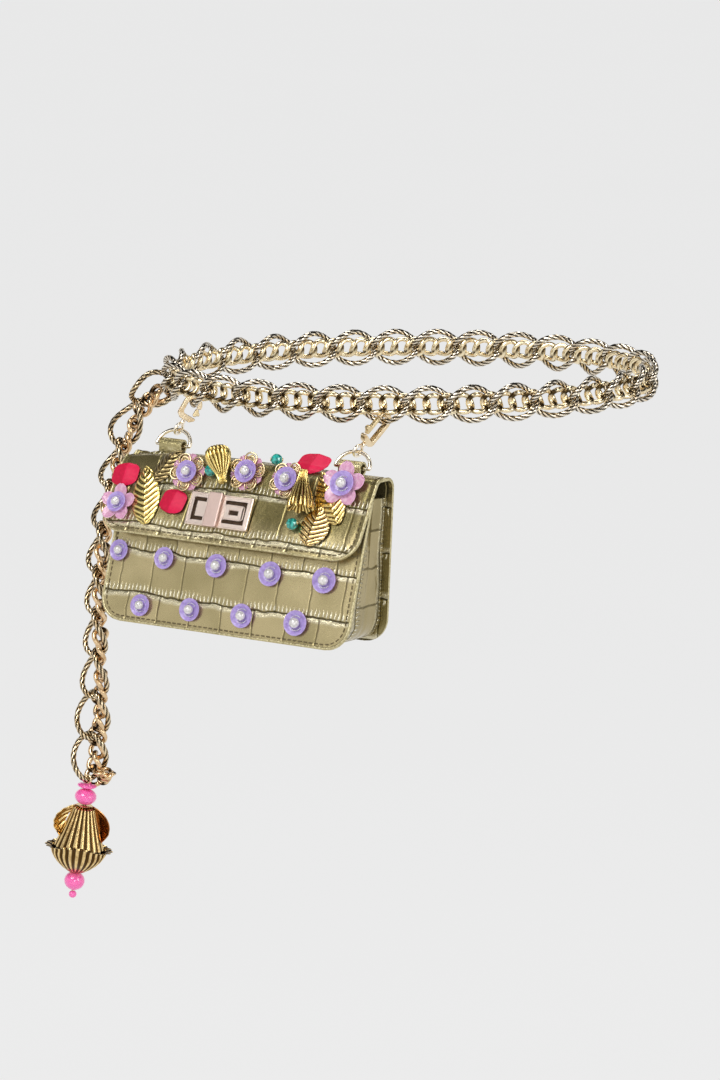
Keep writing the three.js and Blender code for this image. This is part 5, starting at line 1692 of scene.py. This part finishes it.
top, height, small, wide = CONE
shell = [(PIN + 0.3, top), (0.7 * small, top), (small, top - 1.0)]
for i in range(1, 13):
    share = i / 12
    shell.append((small + (wide - small) * (share**1.08), top - 1 - (height - 1) * share))
shell += [(wide - 0.9, top - height + 0.1), (small - 1.2, top - 1.6), (PIN + 0.3, top - 1.2)]
cone = paint(fluted(turned(shell, 180), 20, 1.1, 2.5, 1.1), antique_gold)
on_pin(cone, "fluted_cone", "dark_gold", "pendant_cone")

top, height, rim, neck, foot = CUP
low = top - height


def cup_wall(share):
    """How far out the cup's wall lies, at a share of its height"""
    return foot + (neck - foot) * sin(pi / 2 * min(1, share / 0.8)) ** 0.85


shell = [(PIN + 0.3, low), (foot, low)]
shell += [(cup_wall(share), low + share * height) for share in (0.15, 0.3, 0.45, 0.6, 0.72, 0.82)]
shell += [(neck + 0.4, low + 0.9 * height), (neck + 1.4, top - 0.3), (rim, top + 0.2)]
shell += [(rim + 0.5, top - 0.5), (rim + 0.1, top - 0.7), (rim - 0.5, top - 0.3)]
shell += [(neck + 0.4, top - 1.0), (neck - 0.5, low + 0.86 * height)]
shell += [(cup_wall(share) - 1, low + share * height + 0.5) for share in (0.7, 0.45, 0.2)]
shell += [(PIN + 0.3, low + 1)]
cup = fluted(turned(shell, 192), 24, 1.1, foot, 1.5)
scalloped(cup, 4, low + 0.5 * height, 0.5 * height, 0.5, 0.06, 45, 2.1)
on_pin(paint(cup, antique_gold), "scalloped_cup", "gold", "pendant_cup")


def side_petal(length, width, flare, ribs, behind):
    """A metal petal beside the cone, twisted so that it shows its face; behind is 1 or -1, its hidden edge"""
    twist = radians(50)

    def place(across, along):
        reach = 4.4 + (flare - 4.4) * sin(pi / 2 * min(1, along / 0.62)) ** 0.9
        reach -= 3.4 * max(0, along - 0.72) / 0.28
        half = 0.5 * width * (0.45 + 0.55 * sin(pi * (0.12 + 0.72 * along)))
        if along > 0.8:
            half *= sqrt(max(0.03, 1 - ((along - 0.8) / 0.21) ** 2))
        rib = 0.3 * sin(ribs * pi * (along + 0.2 * abs(across))) if ribs else 0
        bowl = rib - 1.1 * across**2
        side = half * across
        x = reach + side * sin(twist) + bowl * cos(twist)
        y = -behind * (side * cos(twist) - bowl * sin(twist))
        return Vector((x, -y, COLLAR_TOP - 0.3 - length * along**1.25))

    return sheet(14, 44, place, 0.5, BOTH_WAYS)


low = COLLAR_TOP - 0.6
outline = [(PIN + 0.3, low), (4.6, low), (5.0, low + 0.25), (4.6, COLLAR_TOP), (PIN + 0.3, COLLAR_TOP)]
collar = paint(turned(outline, 40), antique_gold)
curled = paint(side_petal(20, 8.5, 13.6, 11, 1), antique_gold)
plain = paint(side_petal(22, 9.5, 13.2, 0, -1), copper)
plain.data.transform(turning(180, "Z"))
petals = join([collar, curled, plain])
on_pin(petals, "collar_petals", "dark_gold", "pendant_side_petals", 45)

PIN_FOOT, PIN_HEAD = -67.5, -2.6
eye = paint(circle(2.5, 0.6, 40, 12), warm_plate)
eye.data.transform(moving(0, 0, -0.15) @ turning(90, "X"))
shaft = paint(turned([(0, PIN_FOOT), (PIN, PIN_FOOT), (PIN, PIN_HEAD), (0, PIN_HEAD)], 20), warm_plate)
tip = paint(ball(2.3, (0, 0, PIN_FOOT - 1.45), 24, 0.96), pink_gloss)
on_pin(join([eye, shaft, tip]), "pin", "pink", "pendant_pin")
